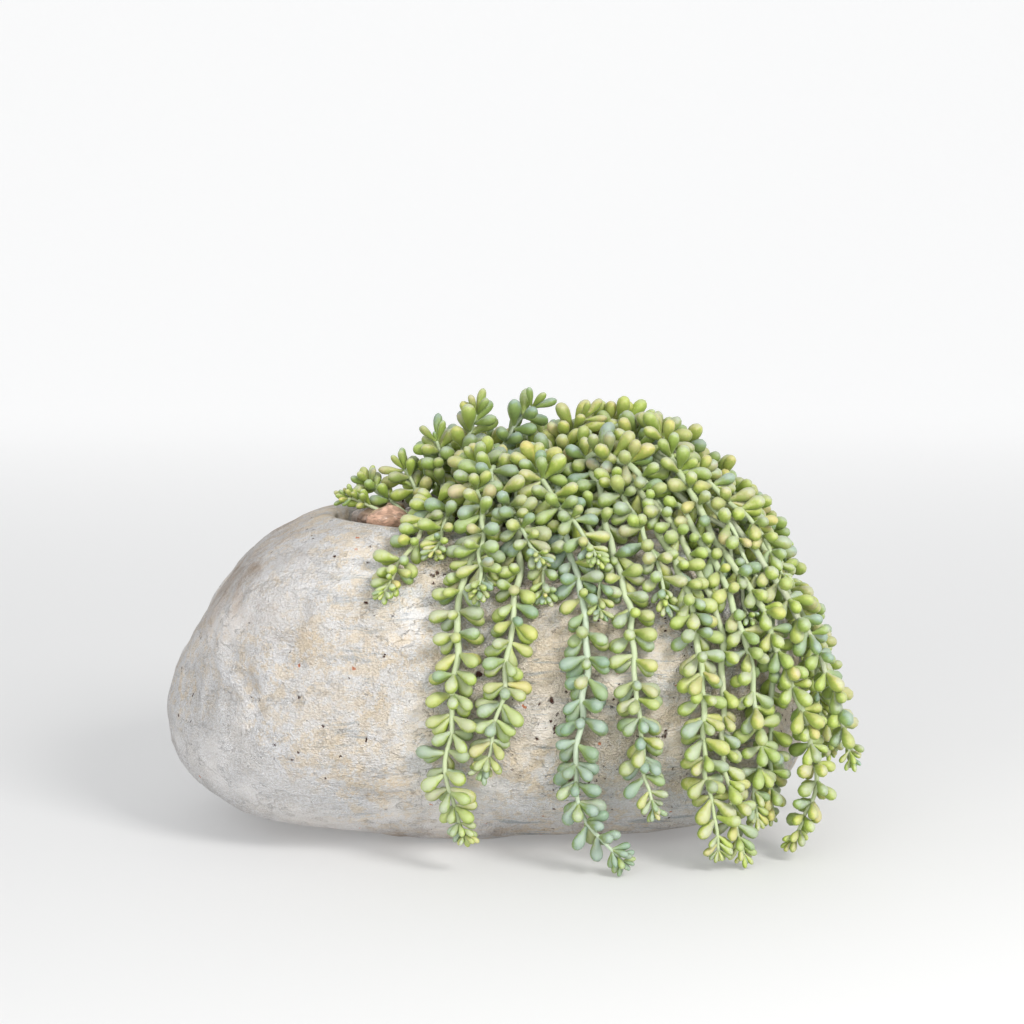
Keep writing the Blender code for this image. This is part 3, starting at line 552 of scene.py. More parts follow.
earth, tree, shader, where = new_finish("potting_soil", 0.95, 0.2)
colour = mixed(between(grain(where, 260.0, 6.0, 0.7), 0.4, 0.65),
               (0.018, 0.011, 0.008, 1.0), (0.095, 0.058, 0.036, 1.0))
colour = mixed(spots(where, 300.0, 0.30, 0.12), colour, (0.30, 0.23, 0.17, 1.0))
dress(shader, colour, grain(where, 700.0, 5.0, 0.7), 0.8, 1.0 * MM)
soil = finished("potting_soil", shape, [earth], smooth=False)
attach(soil, "root")
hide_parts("soil")

# The pebbles
# Small river stones, worn smooth and flat, laid on the soil where the stems leave it bare. The one at the
# lip is a glossy orange-brown agate, the others are duller.

PEBBLE_BULGE = 0.08
PEBBLE_NOISE = 0.05
DARK_BAND = 0.62
PALE_BAND = 1.45
# Each pebble's half sizes in mm, its turn in degrees, its tint and its roughness.
PEBBLES = (
    ((13, 9, 8), 20, (0.52, 0.32, 0.22), 0.42),
    ((9, 7, 6), 70, (0.25, 0.17, 0.125), 0.35),
    ((8, 6, 5), 110, (0.36, 0.30, 0.26), 0.45),
    ((10, 8, 6), 40, (0.42, 0.27, 0.17), 0.4),
    ((11, 8, 7), 160, (0.30, 0.27, 0.25), 0.5),
    ((7, 6, 5), 10, (0.40, 0.20, 0.11), 0.35),
    ((7, 5, 4), 130, (0.48, 0.42, 0.36), 0.45),
    ((6, 5, 4), 60, (0.22, 0.14, 0.10), 0.4),
)
for index, (sizes, turned, tint, roughness) in enumerate(PEBBLES):
    name = f"pebble_{index + 1:02d}"
    low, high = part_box(name)
    shape = bmesh.new()
    bmesh.ops.create_icosphere(shape, subdivisions=4, radius=1.0)
    spin = Matrix.Rotation(math.radians(turned), 3, "Z")
    for vertex in shape.verts:
        bulge = 1.0 + PEBBLE_BULGE * math.sin(5.0 * vertex.co.x + turned) * math.cos(4.0 * vertex.co.y)
        bulge += PEBBLE_NOISE * noise.noise(vertex.co * 1.7 + Vector((index, 0.0, 0.0)))
        vertex.co = spin @ Vector([part * size * bulge * MM for part, size in zip(vertex.co, sizes)])
    bmesh.ops.translate(shape, verts=shape.verts, vec=0.5 * (low + high))
    worn_stone, tree, shader, where = new_finish(name, roughness)
    shader.inputs["Coat Weight"].default_value = 0.15 if index == 0 else 0.1
    bands = grain(stretched(where, (90.0, 160.0, 260.0), (0.4, 0.2, 0.5)), 1.0, 5.0, 0.6, 1.5)
    colour = mixed(between(bands, 0.35, 0.65), (*(DARK_BAND * np.array(tint)), 1.0),
                   (*np.minimum(PALE_BAND * np.array(tint) + 0.03, 1.0), 1.0))
    tree.links.new(colour, shader.inputs["Base Color"])
    pebble = finished(f"river_{name}", shape, [worn_stone])
    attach(pebble, "root")
    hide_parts(name)

# The stems' lines
# Each stem stands upright in the soil, arches over the lip and lies or hangs down the stone. The lines are
# bent clear of each other as real ones push past each other.

SEED = 11
SOIL_Z = 184.0 * MM
FOOT_Z = 168.0 * MM
STEM_RADIUS = 1.4 * MM
STEP = 5.8 * MM
STEM_SPACING = 9.0 * MM
FLOOR_CLEAR = 9.0 * MM
MIN_LIFT = 7.0 * MM
CLEARING_ROUNDS = 120
SMOOTHING_ROUNDS = 90
STEM_SMOOTHING = 0.2
STEM_MOUTH_SHARE = 0.9
NEAR_FIRMNESS = 0.6
SPRIG_FIRMNESS = 0.5
SIDE_FIRMNESS = 0.15
FOOT_STEPS = 3
KINK = 3.0 * MM
KINK_FADE = 4.0
# How fast the kinks change, along a stem and from stem to stem.
KINK_PACE = (0.31, 1.7)

# Stems that fall down the boulder's near face, traced from left to right:
# (root x, root y, rise, lift off the stone, [(x, z) from the mouth's edge down to the tip]), in mm.
NEAR_FALLS = (
    (-30, -38, 42, 9, [(-36, 192), (-45, 184), (-51, 174), (-53, 166), (-60, 158)]),
    (-16, -40, 40, 9, [(-26, 192), (-29, 186), (-32, 178)]),
    (-2, -30, 62, 10, [
        (-6, 188), (-14, 168), (-19, 140), (-19, 105), (-20, 84), (-29, 64), (-27, 46), (-14, 24)]),
    (6, -44, 48, 9, [(4, 190), (0, 176), (-3, 164)]),
    (14, -28, 66, 10, [(16, 190), (17, 165), (12, 148), (9, 118), (6, 94), (3, 72), (-5, 60)]),
    (26, -46, 50, 9, [(30, 190), (32, 184), (30, 156)]),
    (34, -26, 72, 10, [
        (42, 191), (48, 166), (56, 134), (54, 108), (50, 86), (42, 62), (42, 44), (54, 22), (72, 9)]),
    (52, -42, 54, 9, [(58, 189), (62, 170), (60, 148)]),
    (58, -22, 74, 10, [(66, 188), (74, 162), (80, 140), (80, 112), (83, 90), (83, 68), (90, 38)]),
    (70, -30, 76, 12, [(84, 192), (92, 178), (98, 160), (99, 152)]),
    (76, -14, 82, 12, [(94, 196), (104, 178), (114, 150), (116, 116), (120, 84), (120, 52), (129, 12)]),
    (66, -38, 60, 10, [(104, 186), (122, 162), (131, 130), (129, 82), (134, 38), (143, 10)]),
    (80, -8, 86, 13, [(108, 197), (124, 184), (138, 146), (148, 112), (153, 84), (150, 58), (151, 25)]),
    (72, 2, 88, 16, [(112, 203), (130, 191), (143, 174), (152, 158)]),
    (84, -16, 76, 12, [(118, 194), (134, 184), (143, 150), (146, 140)]),
    (82, 6, 82, 15, [(122, 195), (150, 150), (168, 112), (178, 80), (190, 52), (184, 20), (170, 12)]),
    (64, 12, 86, 18, [(114, 206), (148, 170), (178, 138), (193, 112), (198, 84), (206, 58)]),
)
# Sprigs that stand up or lean out of the mouth, as points from the soil to the tip, in mm.
SPRIGS = (
    [(-58, -10, 184), (-61, -11, 190), (-72, -16, 196), (-84, -20, 197)],
    [(-50, -2, 184), (-52, -1, 192), (-62, 1, 200), (-74, 3, 204)],
    [(-38, 4, 184), (-40, 4, 196), (-46, 5, 206), (-55, 6, 212)],
    [(-30, 12, 184), (-30, 11, 203), (-31, 9, 217), (-33, 8, 229)],
    [(-20, 14, 184), (-22, 12, 206), (-18, 9, 228), (-9, 6, 246)],
    [(0, 18, 184), (0, 17, 212), (8, 14, 234), (23, 11, 250)],
    [(24, 10, 184), (30, 8, 214), (40, 4, 234), (54, -2, 243)],
    [(30, 24, 184), (36, 22, 216), (56, 17, 238), (86, 12, 238)],
)
# Groups drawn by rule, round the right end, over the crown and down the back:
# (count, azimuth range, lift range, rise range, height range of the tip), in degrees and mm.
SIDE_GROUPS = (
    (9, (-30, 48), (9, 18), (52, 76), (18, 95)),
    (6, (-112, 26), (16, 25), (68, 86), (160, 186)),
    (6, (62, 118), (9, 18), (46, 78), (34, 120)),
)
ROOT_SPACING = 6.5 * MM
# Where the drawn stems stand in the soil, and how much they vary, in mm and in shares.
ROOT_REACH = np.array([62.0, 36.0])
ROOT_SHARES = (0.2, 1.0)
ROOT_SCATTER = 10.0
SIDE_TOP = 194.0
SIDE_KEYS = 6
SIDE_PLACES = (0.25, 0.75)
SIDE_SCATTER = 14.0
SIDE_SWAY = 9.0
SIDE_WAVES = 1.3
# How far out from the boulder's middle its outside is looked for.
REACHES = np.arange(0.0, 0.3, 0.0005)


def fall_points(azimuth, lift, keys):
    """Points down the boulder's outside. Each key is (across, height): a stem lies on the stone
    down to its widest point and hangs plumb below it."""
    out = np.array([math.cos(azimuth), math.sin(azimuth), 0.0])
    across_way = np.array([-out[1], out[0], 0.0])
    reach, points = 0.0, []
    for across, height in keys:
        base = across_way * across + np.array([0.0, 0.0, height])
        inside = stone_share(base + REACHES[:, None] * out, lift) < 1.0
        if inside.any():
            reach = max(reach, REACHES[inside][-1])
        points.append(base + out * reach)
    return points


def arch_points(root, rise, first, second):
    """A stem's rise from the soil and its turn over towards the first point of its fall."""
    away = unit(first - second)
    bends = (root, root + np.array([0, 0, rise]), first + away * 0.75 * rise, first)
    points = []
    for t in np.linspace(0.0, 1.0, 9)[:-1]:
        weights = ((1 - t) ** 3, 3 * t * (1 - t) ** 2, 3 * t * t * (1 - t), t ** 3)
        points.append(sum(w * b for w, b in zip(weights, bends)))
    return points


def smooth_line(points, step=STEP):
    """A curve through the points (Catmull-Rom), cut into equal steps."""
    points = np.array(points)
    ends = np.vstack([2 * points[0] - points[1], points, 2 * points[-1] - points[-2]])
    fine = []
    for a, b, c, d in zip(ends[:-3], ends[1:-2], ends[2:-1], ends[3:]):
        t = np.linspace(0.0, 1.0, 12, endpoint=False)[:, None]
        fine.append(0.5 * (2 * b + (c - a) * t + (2 * a - 5 * b + 4 * c - d) * t ** 2
                           + (3 * b - 3 * c + d - a) * t ** 3))
    line = np.vstack(fine + [points[-1:]])
    lengths = np.concatenate([[0.0], np.cumsum(np.linalg.norm(np.diff(line, axis=0), axis=1))])
    count = max(4, int(round(lengths[-1] / step)))
    marks = np.linspace(0.0, lengths[-1], count + 1)
    return np.stack([np.interp(marks, lengths, line[:, axis]) for axis in range(3)], axis=1)


def rooted(root, way_on):
    """A stem's line: upright through the soil, then along the way on."""
    upright = [np.array([root[0], root[1], FOOT_Z + k * STEP]) for k in range(FOOT_STEPS + 1)]
    return np.vstack([upright[:-1], smooth_line([upright[-1], *way_on])])


def stem_line(root, rise, falls):
    out_of_soil = np.array([root[0], root[1], FOOT_Z + FOOT_STEPS * STEP])
    return rooted(root, arch_points(out_of_soil, rise, falls[0], falls[1])[1:] + falls)


def free_root(out, taken, rng):
    """A place in the soil on the side that a stem falls to, clear of the stems already set."""
    while True:
        root = HEART[:2] + out * ROOT_REACH * MM * rng.uniform(*ROOT_SHARES)
        root += rng.uniform(-ROOT_SCATTER, ROOT_SCATTER, 2) * MM
        if all(np.linalg.norm(root - other) > ROOT_SPACING for other in taken):
            taken.append(root)
            return root


def side_lines(taken, rng):
    lines = []
    for count, azimuths, lifts, rises, tips in SIDE_GROUPS:
        for k in range(count):
            share = (k + rng.uniform(*SIDE_PLACES)) / count
            azimuth = math.radians(azimuths[0] + (azimuths[1] - azimuths[0]) * share)
            out = np.array([math.cos(azimuth), math.sin(azimuth)])
            root = free_root(out, taken, rng)
            across = rng.uniform(-SIDE_SCATTER, SIDE_SCATTER) * MM + out[0] * root[1] - out[1] * root[0]
            sway = rng.uniform(-SIDE_SWAY, SIDE_SWAY) * MM
            heights = np.linspace(SIDE_TOP, rng.uniform(*tips), SIDE_KEYS) * MM
            keys = [(across + sway * math.sin(SIDE_WAVES * i), height) for i, height in enumerate(heights)]
            falls = fall_points(azimuth, rng.uniform(*lifts) * MM, keys)
            lines.append(stem_line(root, rng.uniform(*rises) * MM, falls))
    return lines


def bend_clear(lines, firmness):
    """Bends the stems clear of each other, of the boulder and of the ground, with their feet held."""
    owner = np.concatenate([np.full(len(line), k) for k, line in enumerate(lines)])
    starts = np.cumsum([0] + [len(line) for line in lines])
    held = np.concatenate([np.arange(len(line)) <= FOOT_STEPS for line in lines])
    yielding = np.concatenate([np.full(len(line), 1.0 - firm) for line, firm in zip(lines, firmness)])
    yielding[held] = 0.0
    points = np.vstack(lines)
    for round_number in range(CLEARING_ROUNDS):
        tree = KDTree(len(points))
        for index, point in enumerate(points):
            tree.insert(point, index)
        tree.balance()
        push = np.zeros_like(points)
        for index, point in enumerate(points):
            for near, other, distance in tree.find_range(point, STEM_SPACING):
                if owner[other] != owner[index] and distance > 1e-7:
                    push[index] += (point - np.array(near)) / distance * 0.5 * (STEM_SPACING - distance)
        along = unit(np.gradient(points, axis=0))
        push -= along * (push * along).sum(-1, keepdims=True)
        points += push * yielding[:, None]
        share = stone_share(points, MIN_LIFT)
        outside = HEART + (points - HEART) / np.minimum(share, 1.0)[:, None]
        free = held | over_mouth(points, STEM_MOUTH_SHARE)
        points = np.where(free[:, None], points, outside)
        points[:, 2] = np.maximum(points[:, 2], FLOOR_CLEAR)
        if round_number < SMOOTHING_ROUNDS:
            middle = 0.5 * (points[:-2] + points[2:])
            inner = (owner[:-2] == owner[2:]) & ~held[1:-1]
            points[1:-1][inner] += STEM_SMOOTHING * (middle[inner] - points[1:-1][inner])
    return [points[a:b] for a, b in zip(starts[:-1], starts[1:])]


near = []
for x, y, rise, lift, keys in NEAR_FALLS:
    falls = fall_points(-0.5 * math.pi, lift * MM, [(kx * MM, kz * MM) for kx, kz in keys])
    near.append(stem_line((x * MM, y * MM), rise * MM, falls))
sprigs = [rooted(np.array(points[0]) * MM, np.array(points[1:]) * MM) for points in SPRIGS]
side = side_lines([line[0][:2] for line in near + sprigs], np.random.default_rng(SEED))
firmness = [NEAR_FIRMNESS] * len(near) + [SPRIG_FIRMNESS] * len(sprigs) + [SIDE_FIRMNESS] * len(side)
lines = bend_clear(near + sprigs + side, firmness)


def kinked(line, index):
    """A stem's line with the small kinks that each whorl of leaves gives it."""
    steps = np.arange(len(line))
    free = np.clip((steps - FOOT_STEPS) / KINK_FADE, 0.0, 1.0)
    kinks = np.array([noise.noise_vector(Vector((KINK_PACE[0] * step, KINK_PACE[1] * index, 0.0)))
                      for step in steps])
    return line + KINK * kinks * free[:, None]


lines = [kinked(line, index) for index, line in enumerate(lines)]

# The leaves
# Plump, club-shaped leaves with narrow roots, in loose whorls of four or five round a stem. Full-grown ones
# are about 15 mm long, and they shorten to a small rosette at each tip. Upper leaves shade out those below.

LEAF_LENGTH = 15.4 * MM
LEAF_PLUMPNESS = 0.245
LEAF_BELLY = 0.70
LEAF_NECK = 0.38
NECK_SHARE = 0.7
WHORL_GAPS = (10.0 * MM, 14.0 * MM)
FIRST_GAP = 0.3
TIP_CLOSENESS = 0.6
ROSETTE_GAP = 4.2 * MM
ROSETTE_LENGTH = 9.0 * MM
FRONT_PAIR = 22.0
BACK_PAIR = -32.0
CROWN_RISE = 0.6
CROWN_FLATNESS = 0.45
CROWN_LENGTH = 0.22
CROWN_SLIMNESS = 0.12
FRONT_TURN = 90.0
FRONT_LEAF_CHANCE = 0.6
FRONT_LEAF_SHARE = 0.86
TIP_SPREAD = 38.0
FULL_SPREAD = 64.0
TIP_TAPER = 22.0 * MM
SPRIG_TAPER = 8.0 * MM
ROSETTE_SPRIG_TAPER = 40.0 * MM
SPRIG_CLOSENESS = 0.80
SPRIG_BARENESS = 0.08
YOUNG_LEAF_SHARE = 0.54
SPRIG_LEAF_SHARE = 0.86
YOUNG_PLUMPNESS = 0.70
TIP_LEAF_SHARE = 0.5
BARE_FOOT = 26.0 * MM
LEAF_SIZES = (0.84, 1.14)
LEAN_SWAY = (-20.0, 16.0)
TURN_SWAY = 14.0
ROOT_SWAY = 1.6 * MM
# How far the whorls are twisted round a stem, in degrees: at its tip, then on from whorl to whorl.
FIRST_TWIST = 15.0
TWIST_DRIFT = 5.0
TWIST_SWAY = 16.0
TWIST_LIMIT = 34.0
CROWN_Z = (0.185, 0.235)
SWINGS = (0.0, 16.0, -16.0, 32.0, -32.0)
MOST_BACKWARD = -0.45
OWN_SQUEEZE = 0.74
OTHER_SQUEEZE = 1.04
STONE_LIFT = 0.4 * MM
FLOOR_LIFT = 1.0 * MM
CELL = 9.0 * MM


def outward_of(point, tangent):
    """The way out from the boulder's heart, across a stem."""
    away = unit(point - HEART)
    return unit(away - tangent * (away @ tangent) * 0.98)


def crown_share(height):
    """0 where leaves hang on the stone, 1 in the crown."""
    return min(1.0, max(0.0, (height - CROWN_Z[0]) / (CROWN_Z[1] - CROWN_Z[0])))


def whorl_marks(length, taper, rng):
    """How far from its tip each whorl of a stem sits."""
    marks, mark = [], FIRST_GAP * ROSETTE_GAP
    closeness = SPRIG_CLOSENESS if taper == SPRIG_TAPER else 1.0
    while mark < length - BARE_FOOT:
        marks.append(mark)
        in_rosette = taper != SPRIG_TAPER and mark < ROSETTE_LENGTH * taper / TIP_TAPER
        spread = TIP_CLOSENESS + (1.0 - TIP_CLOSENESS) * min(1.0, mark / taper)
        gap = rng.uniform(*WHORL_GAPS) * closeness * spread
        mark += ROSETTE_GAP if in_rosette else gap
    return marks


def leaf_buds(lines, tapers, rng):
    """Where leaves may grow: root, the stem's frame there, angle round it, lean, length, plumpness, stem and
    the share of the stem that lies before the leaf."""
    buds = []
    for stem, (line, taper) in enumerate(zip(lines, tapers)):
        tangents = unit(np.gradient(line, axis=0))
        length = STEP * (len(line) - 1)
        twist, drift = rng.uniform(-FIRST_TWIST, FIRST_TWIST), rng.uniform(-TWIST_DRIFT, TWIST_DRIFT)
        for mark in whorl_marks(length, taper, rng):
            k = min(len(line) - 1, int(round((length - mark) / STEP)))
            tangent = tangents[k]
            outward = outward_of(line[k], tangent)
            outward = unit(outward - tangent * (outward @ tangent))
            across = np.cross(tangent, outward)
            twist = twist + drift + rng.uniform(-TWIST_SWAY, TWIST_SWAY)
            twist = np.clip(twist, -TWIST_LIMIT, TWIST_LIMIT)
            to_tip = min(1.0, mark / taper)
            turns = [FRONT_PAIR, 180.0 - FRONT_PAIR, BACK_PAIR, 180.0 - BACK_PAIR]
            if rng.uniform() < FRONT_LEAF_CHANCE:
                turns.append(FRONT_TURN)
            if taper == SPRIG_TAPER:
                turns = [turn for turn in turns if rng.uniform() > SPRIG_BARENESS]
            for turn in turns:
                root_mark = length - mark + rng.uniform(-ROOT_SWAY, ROOT_SWAY) * to_tip
                at = root_mark / STEP
                whole = min(len(line) - 2, max(0, int(at)))
                root = line[whole] + (line[whole + 1] - line[whole]) * min(1.0, at - whole)
                lean = TIP_SPREAD + (FULL_SPREAD - TIP_SPREAD) * to_tip + rng.uniform(*LEAN_SWAY)
                youngest = SPRIG_LEAF_SHARE if taper == SPRIG_TAPER else YOUNG_LEAF_SHARE
                grown = youngest + (1.0 - youngest) * to_tip
                high = crown_share(root[2])
                size = LEAF_LENGTH * grown * rng.uniform(*LEAF_SIZES) * (1.0 + CROWN_LENGTH * high)
                if turn == FRONT_TURN:
                    size *= FRONT_LEAF_SHARE
                plump = LEAF_PLUMPNESS * (YOUNG_PLUMPNESS + (1.0 - YOUNG_PLUMPNESS) * to_tip)
                plump *= 1.0 - CROWN_SLIMNESS * high
                angle = turn + twist + rng.uniform(-TURN_SWAY, TURN_SWAY)
                buds.append((root, tangent, across, outward, angle, lean, size, plump, stem,
                             root_mark / length))
        buds.append((line[-1] - 0.3 * STEP * tangents[-1], tangents[-1], across, outward, 0.0, 0.0,
                     TIP_LEAF_SHARE * LEAF_LENGTH, LEAF_PLUMPNESS * YOUNG_PLUMPNESS, stem, 1.0))
    return buds


def cell_of(point):
    return tuple(int(part) for part in np.floor(point / CELL))


def is_clear(taken, centre, radius, stem, squeeze_own):
    """Whether a ball is clear of the balls already there, give or take a little squeezing."""
    a, b, c = cell_of(centre)
    for cell in ((a + i, b + j, c + k) for i in (-1, 0, 1) for j in (-1, 0, 1) for k in (-1, 0, 1)):
        for x, y, z, size, owner in taken.get(cell, ()):
            reach = (radius + size) * (squeeze_own if owner == stem else OTHER_SQUEEZE)
            if (x - centre[0]) ** 2 + (y - centre[1]) ** 2 + (z - centre[2]) ** 2 < reach * reach:
                return False
    return True


def off_the_stone(root, way, length, girth):
    """Swings a leaf on its root until its plump end is clear of the boulder, the soil and the ground."""
    end = root + way * LEAF_BELLY * length
    if over_mouth(end[None], STEM_MOUTH_SHARE)[0]:
        end[2] = max(end[2], SOIL_Z + girth)
    else:
        away = end - HEART
        depth = (1.0 - stone_share(end)) * np.linalg.norm(away) + girth + STONE_LIFT
        end = end + unit(away) * max(0.0, depth)
    end[2] = max(end[2], girth + FLOOR_LIFT)
    return unit(end - root)


def grow_leaves(lines, buds):
    """Grows the leaves from the outermost inwards. One that has no room swings round its stem, or isn't
    grown."""
    taken = {}

    def take(centre, radius, stem):
        taken.setdefault(cell_of(centre), []).append((*centre, radius, stem))

    for stem, line in enumerate(lines):
        for share in (0.0, 0.5):
            for point in line[:-1] * (1.0 - share) + line[1:] * share:
                take(point, STEM_RADIUS, stem)
    order = sorted(range(len(buds)), key=lambda i: -float(
        (stone_share(buds[i][0]) - 1.0) * np.linalg.norm(buds[i][0] - HEART)))
    grown = []
    for index in order:
        root, tangent, across, outward, angle, lean, length, plump, stem, down_stem = buds[index]
        girth = plump * length
        for swing in SWINGS:
            turn, tilt = math.radians(angle + swing), math.radians(lean)
            sideways = across * math.cos(turn) + outward * math.sin(turn)
            way = unit(tangent * math.cos(tilt) + sideways * math.sin(tilt))
            rise = CROWN_RISE * crown_share(root[2]) * (1.0 - max(0.0, tangent[2]))
            flat = np.array([1.0, 1.0 - CROWN_FLATNESS * crown_share(root[2]), 1.0])
            way = unit(way * flat + np.array([0.0, 0.0, rise]))
            way = off_the_stone(root, way, length, girth)
            belly, neck = root + way * LEAF_BELLY * length, root + way * LEAF_NECK * length
            if way @ tangent < MOST_BACKWARD or not is_clear(taken, belly, girth, stem, OWN_SQUEEZE):
                continue
            if is_clear(taken, neck, NECK_SHARE * girth, stem, 0.0):
                take(belly, girth, stem)
                take(neck, NECK_SHARE * girth, stem)
                grown.append((index, root, way, length, plump, stem, down_stem))
                break
    return sorted(grown, key=lambda leaf: leaf[0])


sprig_tapers = [ROSETTE_SPRIG_TAPER] + [SPRIG_TAPER] * (len(sprigs) - 1)
tapers = [TIP_TAPER] * len(near) + sprig_tapers + [TIP_TAPER] * len(side)
leaves = grow_leaves(lines, leaf_buds(lines, tapers, np.random.default_rng(SEED + 1)))

LEAF_SIDES = 8
LEAF_OUTLINE = ((0.0, 0.42), (0.14, 0.36), (0.30, 0.50), (0.45, 0.75), (0.60, 0.95), (0.73, 1.0),
                (0.86, 0.87), (0.95, 0.54), (1.0, 0.0))
LEAF_BENDS = (0.0, 0.05, 0.09, -0.03)
LEAF_FLATNESS = 0.93


def leaf_form(bend):
    """One leaf of unit length along +Z, bent sideways a little towards its end, with a blunt tip."""
    rows = len(LEAF_OUTLINE) - 1
    shape = bmesh.new()
    bmesh.ops.create_uvsphere(shape, u_segments=LEAF_SIDES, v_segments=rows, radius=1.0)
    row, turn = rows_and_turns(shape, rows)
    for vertex, at, angle in zip(shape.verts, row, turn):
        along, radius = LEAF_OUTLINE[at]
        radius = LEAF_PLUMPNESS * radius if at else 0.0
        flat = LEAF_FLATNESS if math.sin(angle) < 0.0 else 1.0
        vertex.co = (radius * math.cos(angle), radius * math.sin(angle) * flat + bend * along * along, along)
    made = bpy.data.meshes.new("leaf_form")
    shape.to_mesh(made)
    shape.free()
    return made


leaf_forms = [leaf_form(bend) for bend in LEAF_BENDS]
leaf_along = np.array([vertex.co.z for vertex in leaf_forms[0].vertices])

# The finish of the leaves and stems
# Live sedum is waxy and matt: lime green to olive on the belly, blue-green towards the end, with a pale
# bloom. The bloom lies mostly on the side to the sky, where it is also a painted highlight, and the side away
# from the sky is painted a deeper green as painted shade. A few leaves of the crown blush tan or dusty pink
# at their ends.

LIME = (0.42, 0.51, 0.085, 1.0)
OLIVE = (0.57, 0.50, 0.13, 1.0)
SEA_GREEN = (0.19, 0.30, 0.185, 1.0)
BLUE_GREY = (0.26, 0.335, 0.285, 1.0)
PAINTED_SHADE_GREEN = (0.21, 0.30, 0.05, 1.0)
PALE_BLOOM_AND_HIGHLIGHT = (0.46, 0.51, 0.33, 1.0)
WARM_BLOOM_AND_HIGHLIGHT = (0.53, 0.50, 0.31, 1.0)
BLUE_BLOOM_AND_HIGHLIGHT = (0.33, 0.415, 0.345, 1.0)
PALE_NECK = (0.44, 0.51, 0.27, 1.0)
BLUSH = (0.56, 0.41, 0.24, 1.0)
DUSTY_PINK = (0.58, 0.44, 0.32, 1.0)
STEM_GREEN = (0.48, 0.56, 0.29, 1.0)
STEM_TAN = (0.46, 0.40, 0.28, 1.0)
STEM_BLUE = (0.46, 0.55, 0.41, 1.0)
STEM_SCURF = (0.66, 0.68, 0.58, 1.0)


def share_of(tree, name):
    """A number that the piece carries at each of its points."""
    return wire(tree, "Attribute", attribute_name=name).outputs["Fac"]


leaf_skin, tree, shader, where = new_finish("sedum_leaf", 0.46, 0.38)
shader.inputs["Subsurface Weight"].default_value = 0.16
shader.inputs["Subsurface Radius"].default_value = (0.5, 0.9, 0.25)
shader.inputs["Subsurface Scale"].default_value = 0.004
shader.inputs["Sheen Weight"].default_value = 0.12
shader.inputs["Sheen Roughness"].default_value = 0.45
shader.inputs["Sheen Tint"].default_value = (0.80, 0.93, 0.90, 1.0)
along, tone, blue, blush, sunny, dusty = (
    share_of(tree, name) for name in ("along", "tone", "blue", "blush", "sunny", "dusty"))
belly = mixed(tone, LIME, OLIVE)
ends = mixed(tone, SEA_GREEN, BLUE_GREY)
colour = mixed(product(blue, between(along, 0.1, 0.8, 0.55, 1.0)), belly, ends)
cloud = between(grain(where, 260.0, 3.0, 0.6), 0.3, 0.7, -0.22, 0.22)
lit = added(sunny, cloud)
# Painted shade: a deeper green on the side of a leaf that faces away from the sky.
colour = mixed(between(lit, 0.60, -0.1, 0.0, 0.75), colour, PAINTED_SHADE_GREEN)
ruddy = mixed(tone, BLUSH, DUSTY_PINK)
colour = mixed(product(blush, between(along, 0.35, 0.95, 0.15, 1.0)), colour, ruddy)
colour = mixed(between(along, 0.30, 0.05, 0.0, 0.6), colour, PALE_NECK)
# The pale bloom is real wax, varying from leaf to leaf, but laid on the side to the sky it is also a painted
# highlight.
bloom_and_painted_highlight = product(between(lit, 0.15, 0.90), between(dusty, 0.0, 1.0, 0.35, 1.0))
bloom_and_highlight_tint = mixed(blue, mixed(tone, PALE_BLOOM_AND_HIGHLIGHT, WARM_BLOOM_AND_HIGHLIGHT), BLUE_BLOOM_AND_HIGHLIGHT)
colour = mixed(bloom_and_painted_highlight, colour, bloom_and_highlight_tint)
dress(shader, colour, grain(where, 900.0, 3.0, 0.6), 0.12, 0.4 * MM)

stem_skin, tree, shader, where = new_finish("sedum_stem", 0.55, 0.35)
woody = product(share_of(tree, "woody"), between(grain(where, 90.0, 4.0, 0.6), 0.3, 0.6))
colour = mixed(woody, STEM_GREEN, STEM_TAN)
colour = mixed(share_of(tree, "blue"), colour, STEM_BLUE)
scurf = between(grain(where, 300.0, 4.0, 0.6), 0.45, 0.75, 0.0, 0.35)
colour = mixed(scurf, colour, STEM_SCURF)
dress(shader, colour, grain(where, 600.0, 4.0, 0.6), 0.3, 0.4 * MM)

# The leafy stems
# A round stem with its whorls of leaves, one piece for each stem of the plant. Every leaf has a colour, a
# blush and a bloom of its own, which the finish reads from the piece's points. Each point also carries how
# far it faces the sky, for the painted light and shade on the leaves.

STEM_ROUNDNESS = 2
SKY_PULL = 0.7
BLUE_LEAF_CHANCE = 0.22
BLUE_LEAF_LIFT = 0.55
STEM_FINE_STEP = 2.4 * MM
STEM_THICKNESS = 1.95 * MM
STEM_TIP_SHARE = 0.5
STEM_TAPER = 110.0 * MM
LEAF_FULLNESS = (0.93, 1.08)
# A leaf's tone: its mean at the foot of the crown, how far that grows to the top, and its spread.
LEAF_TONE = (0.25, 0.25, 0.34)
BLUE_SWING = (0.2, 1.4)
BLUE_SPREAD = 0.12
BLUSH_RARITY = 7
BLUSH_STRENGTH = 1.2
CROWN_BLUSH = 3.5
MOST_BLUSH = 0.6
WOODY_RARITY = 4
LEAF_SPIN = 6.28
TINT_SEED = 23
DRAWN_TINTS = ((0.2, 0.6), (0.0, 0.5), (0.05, 0.4))
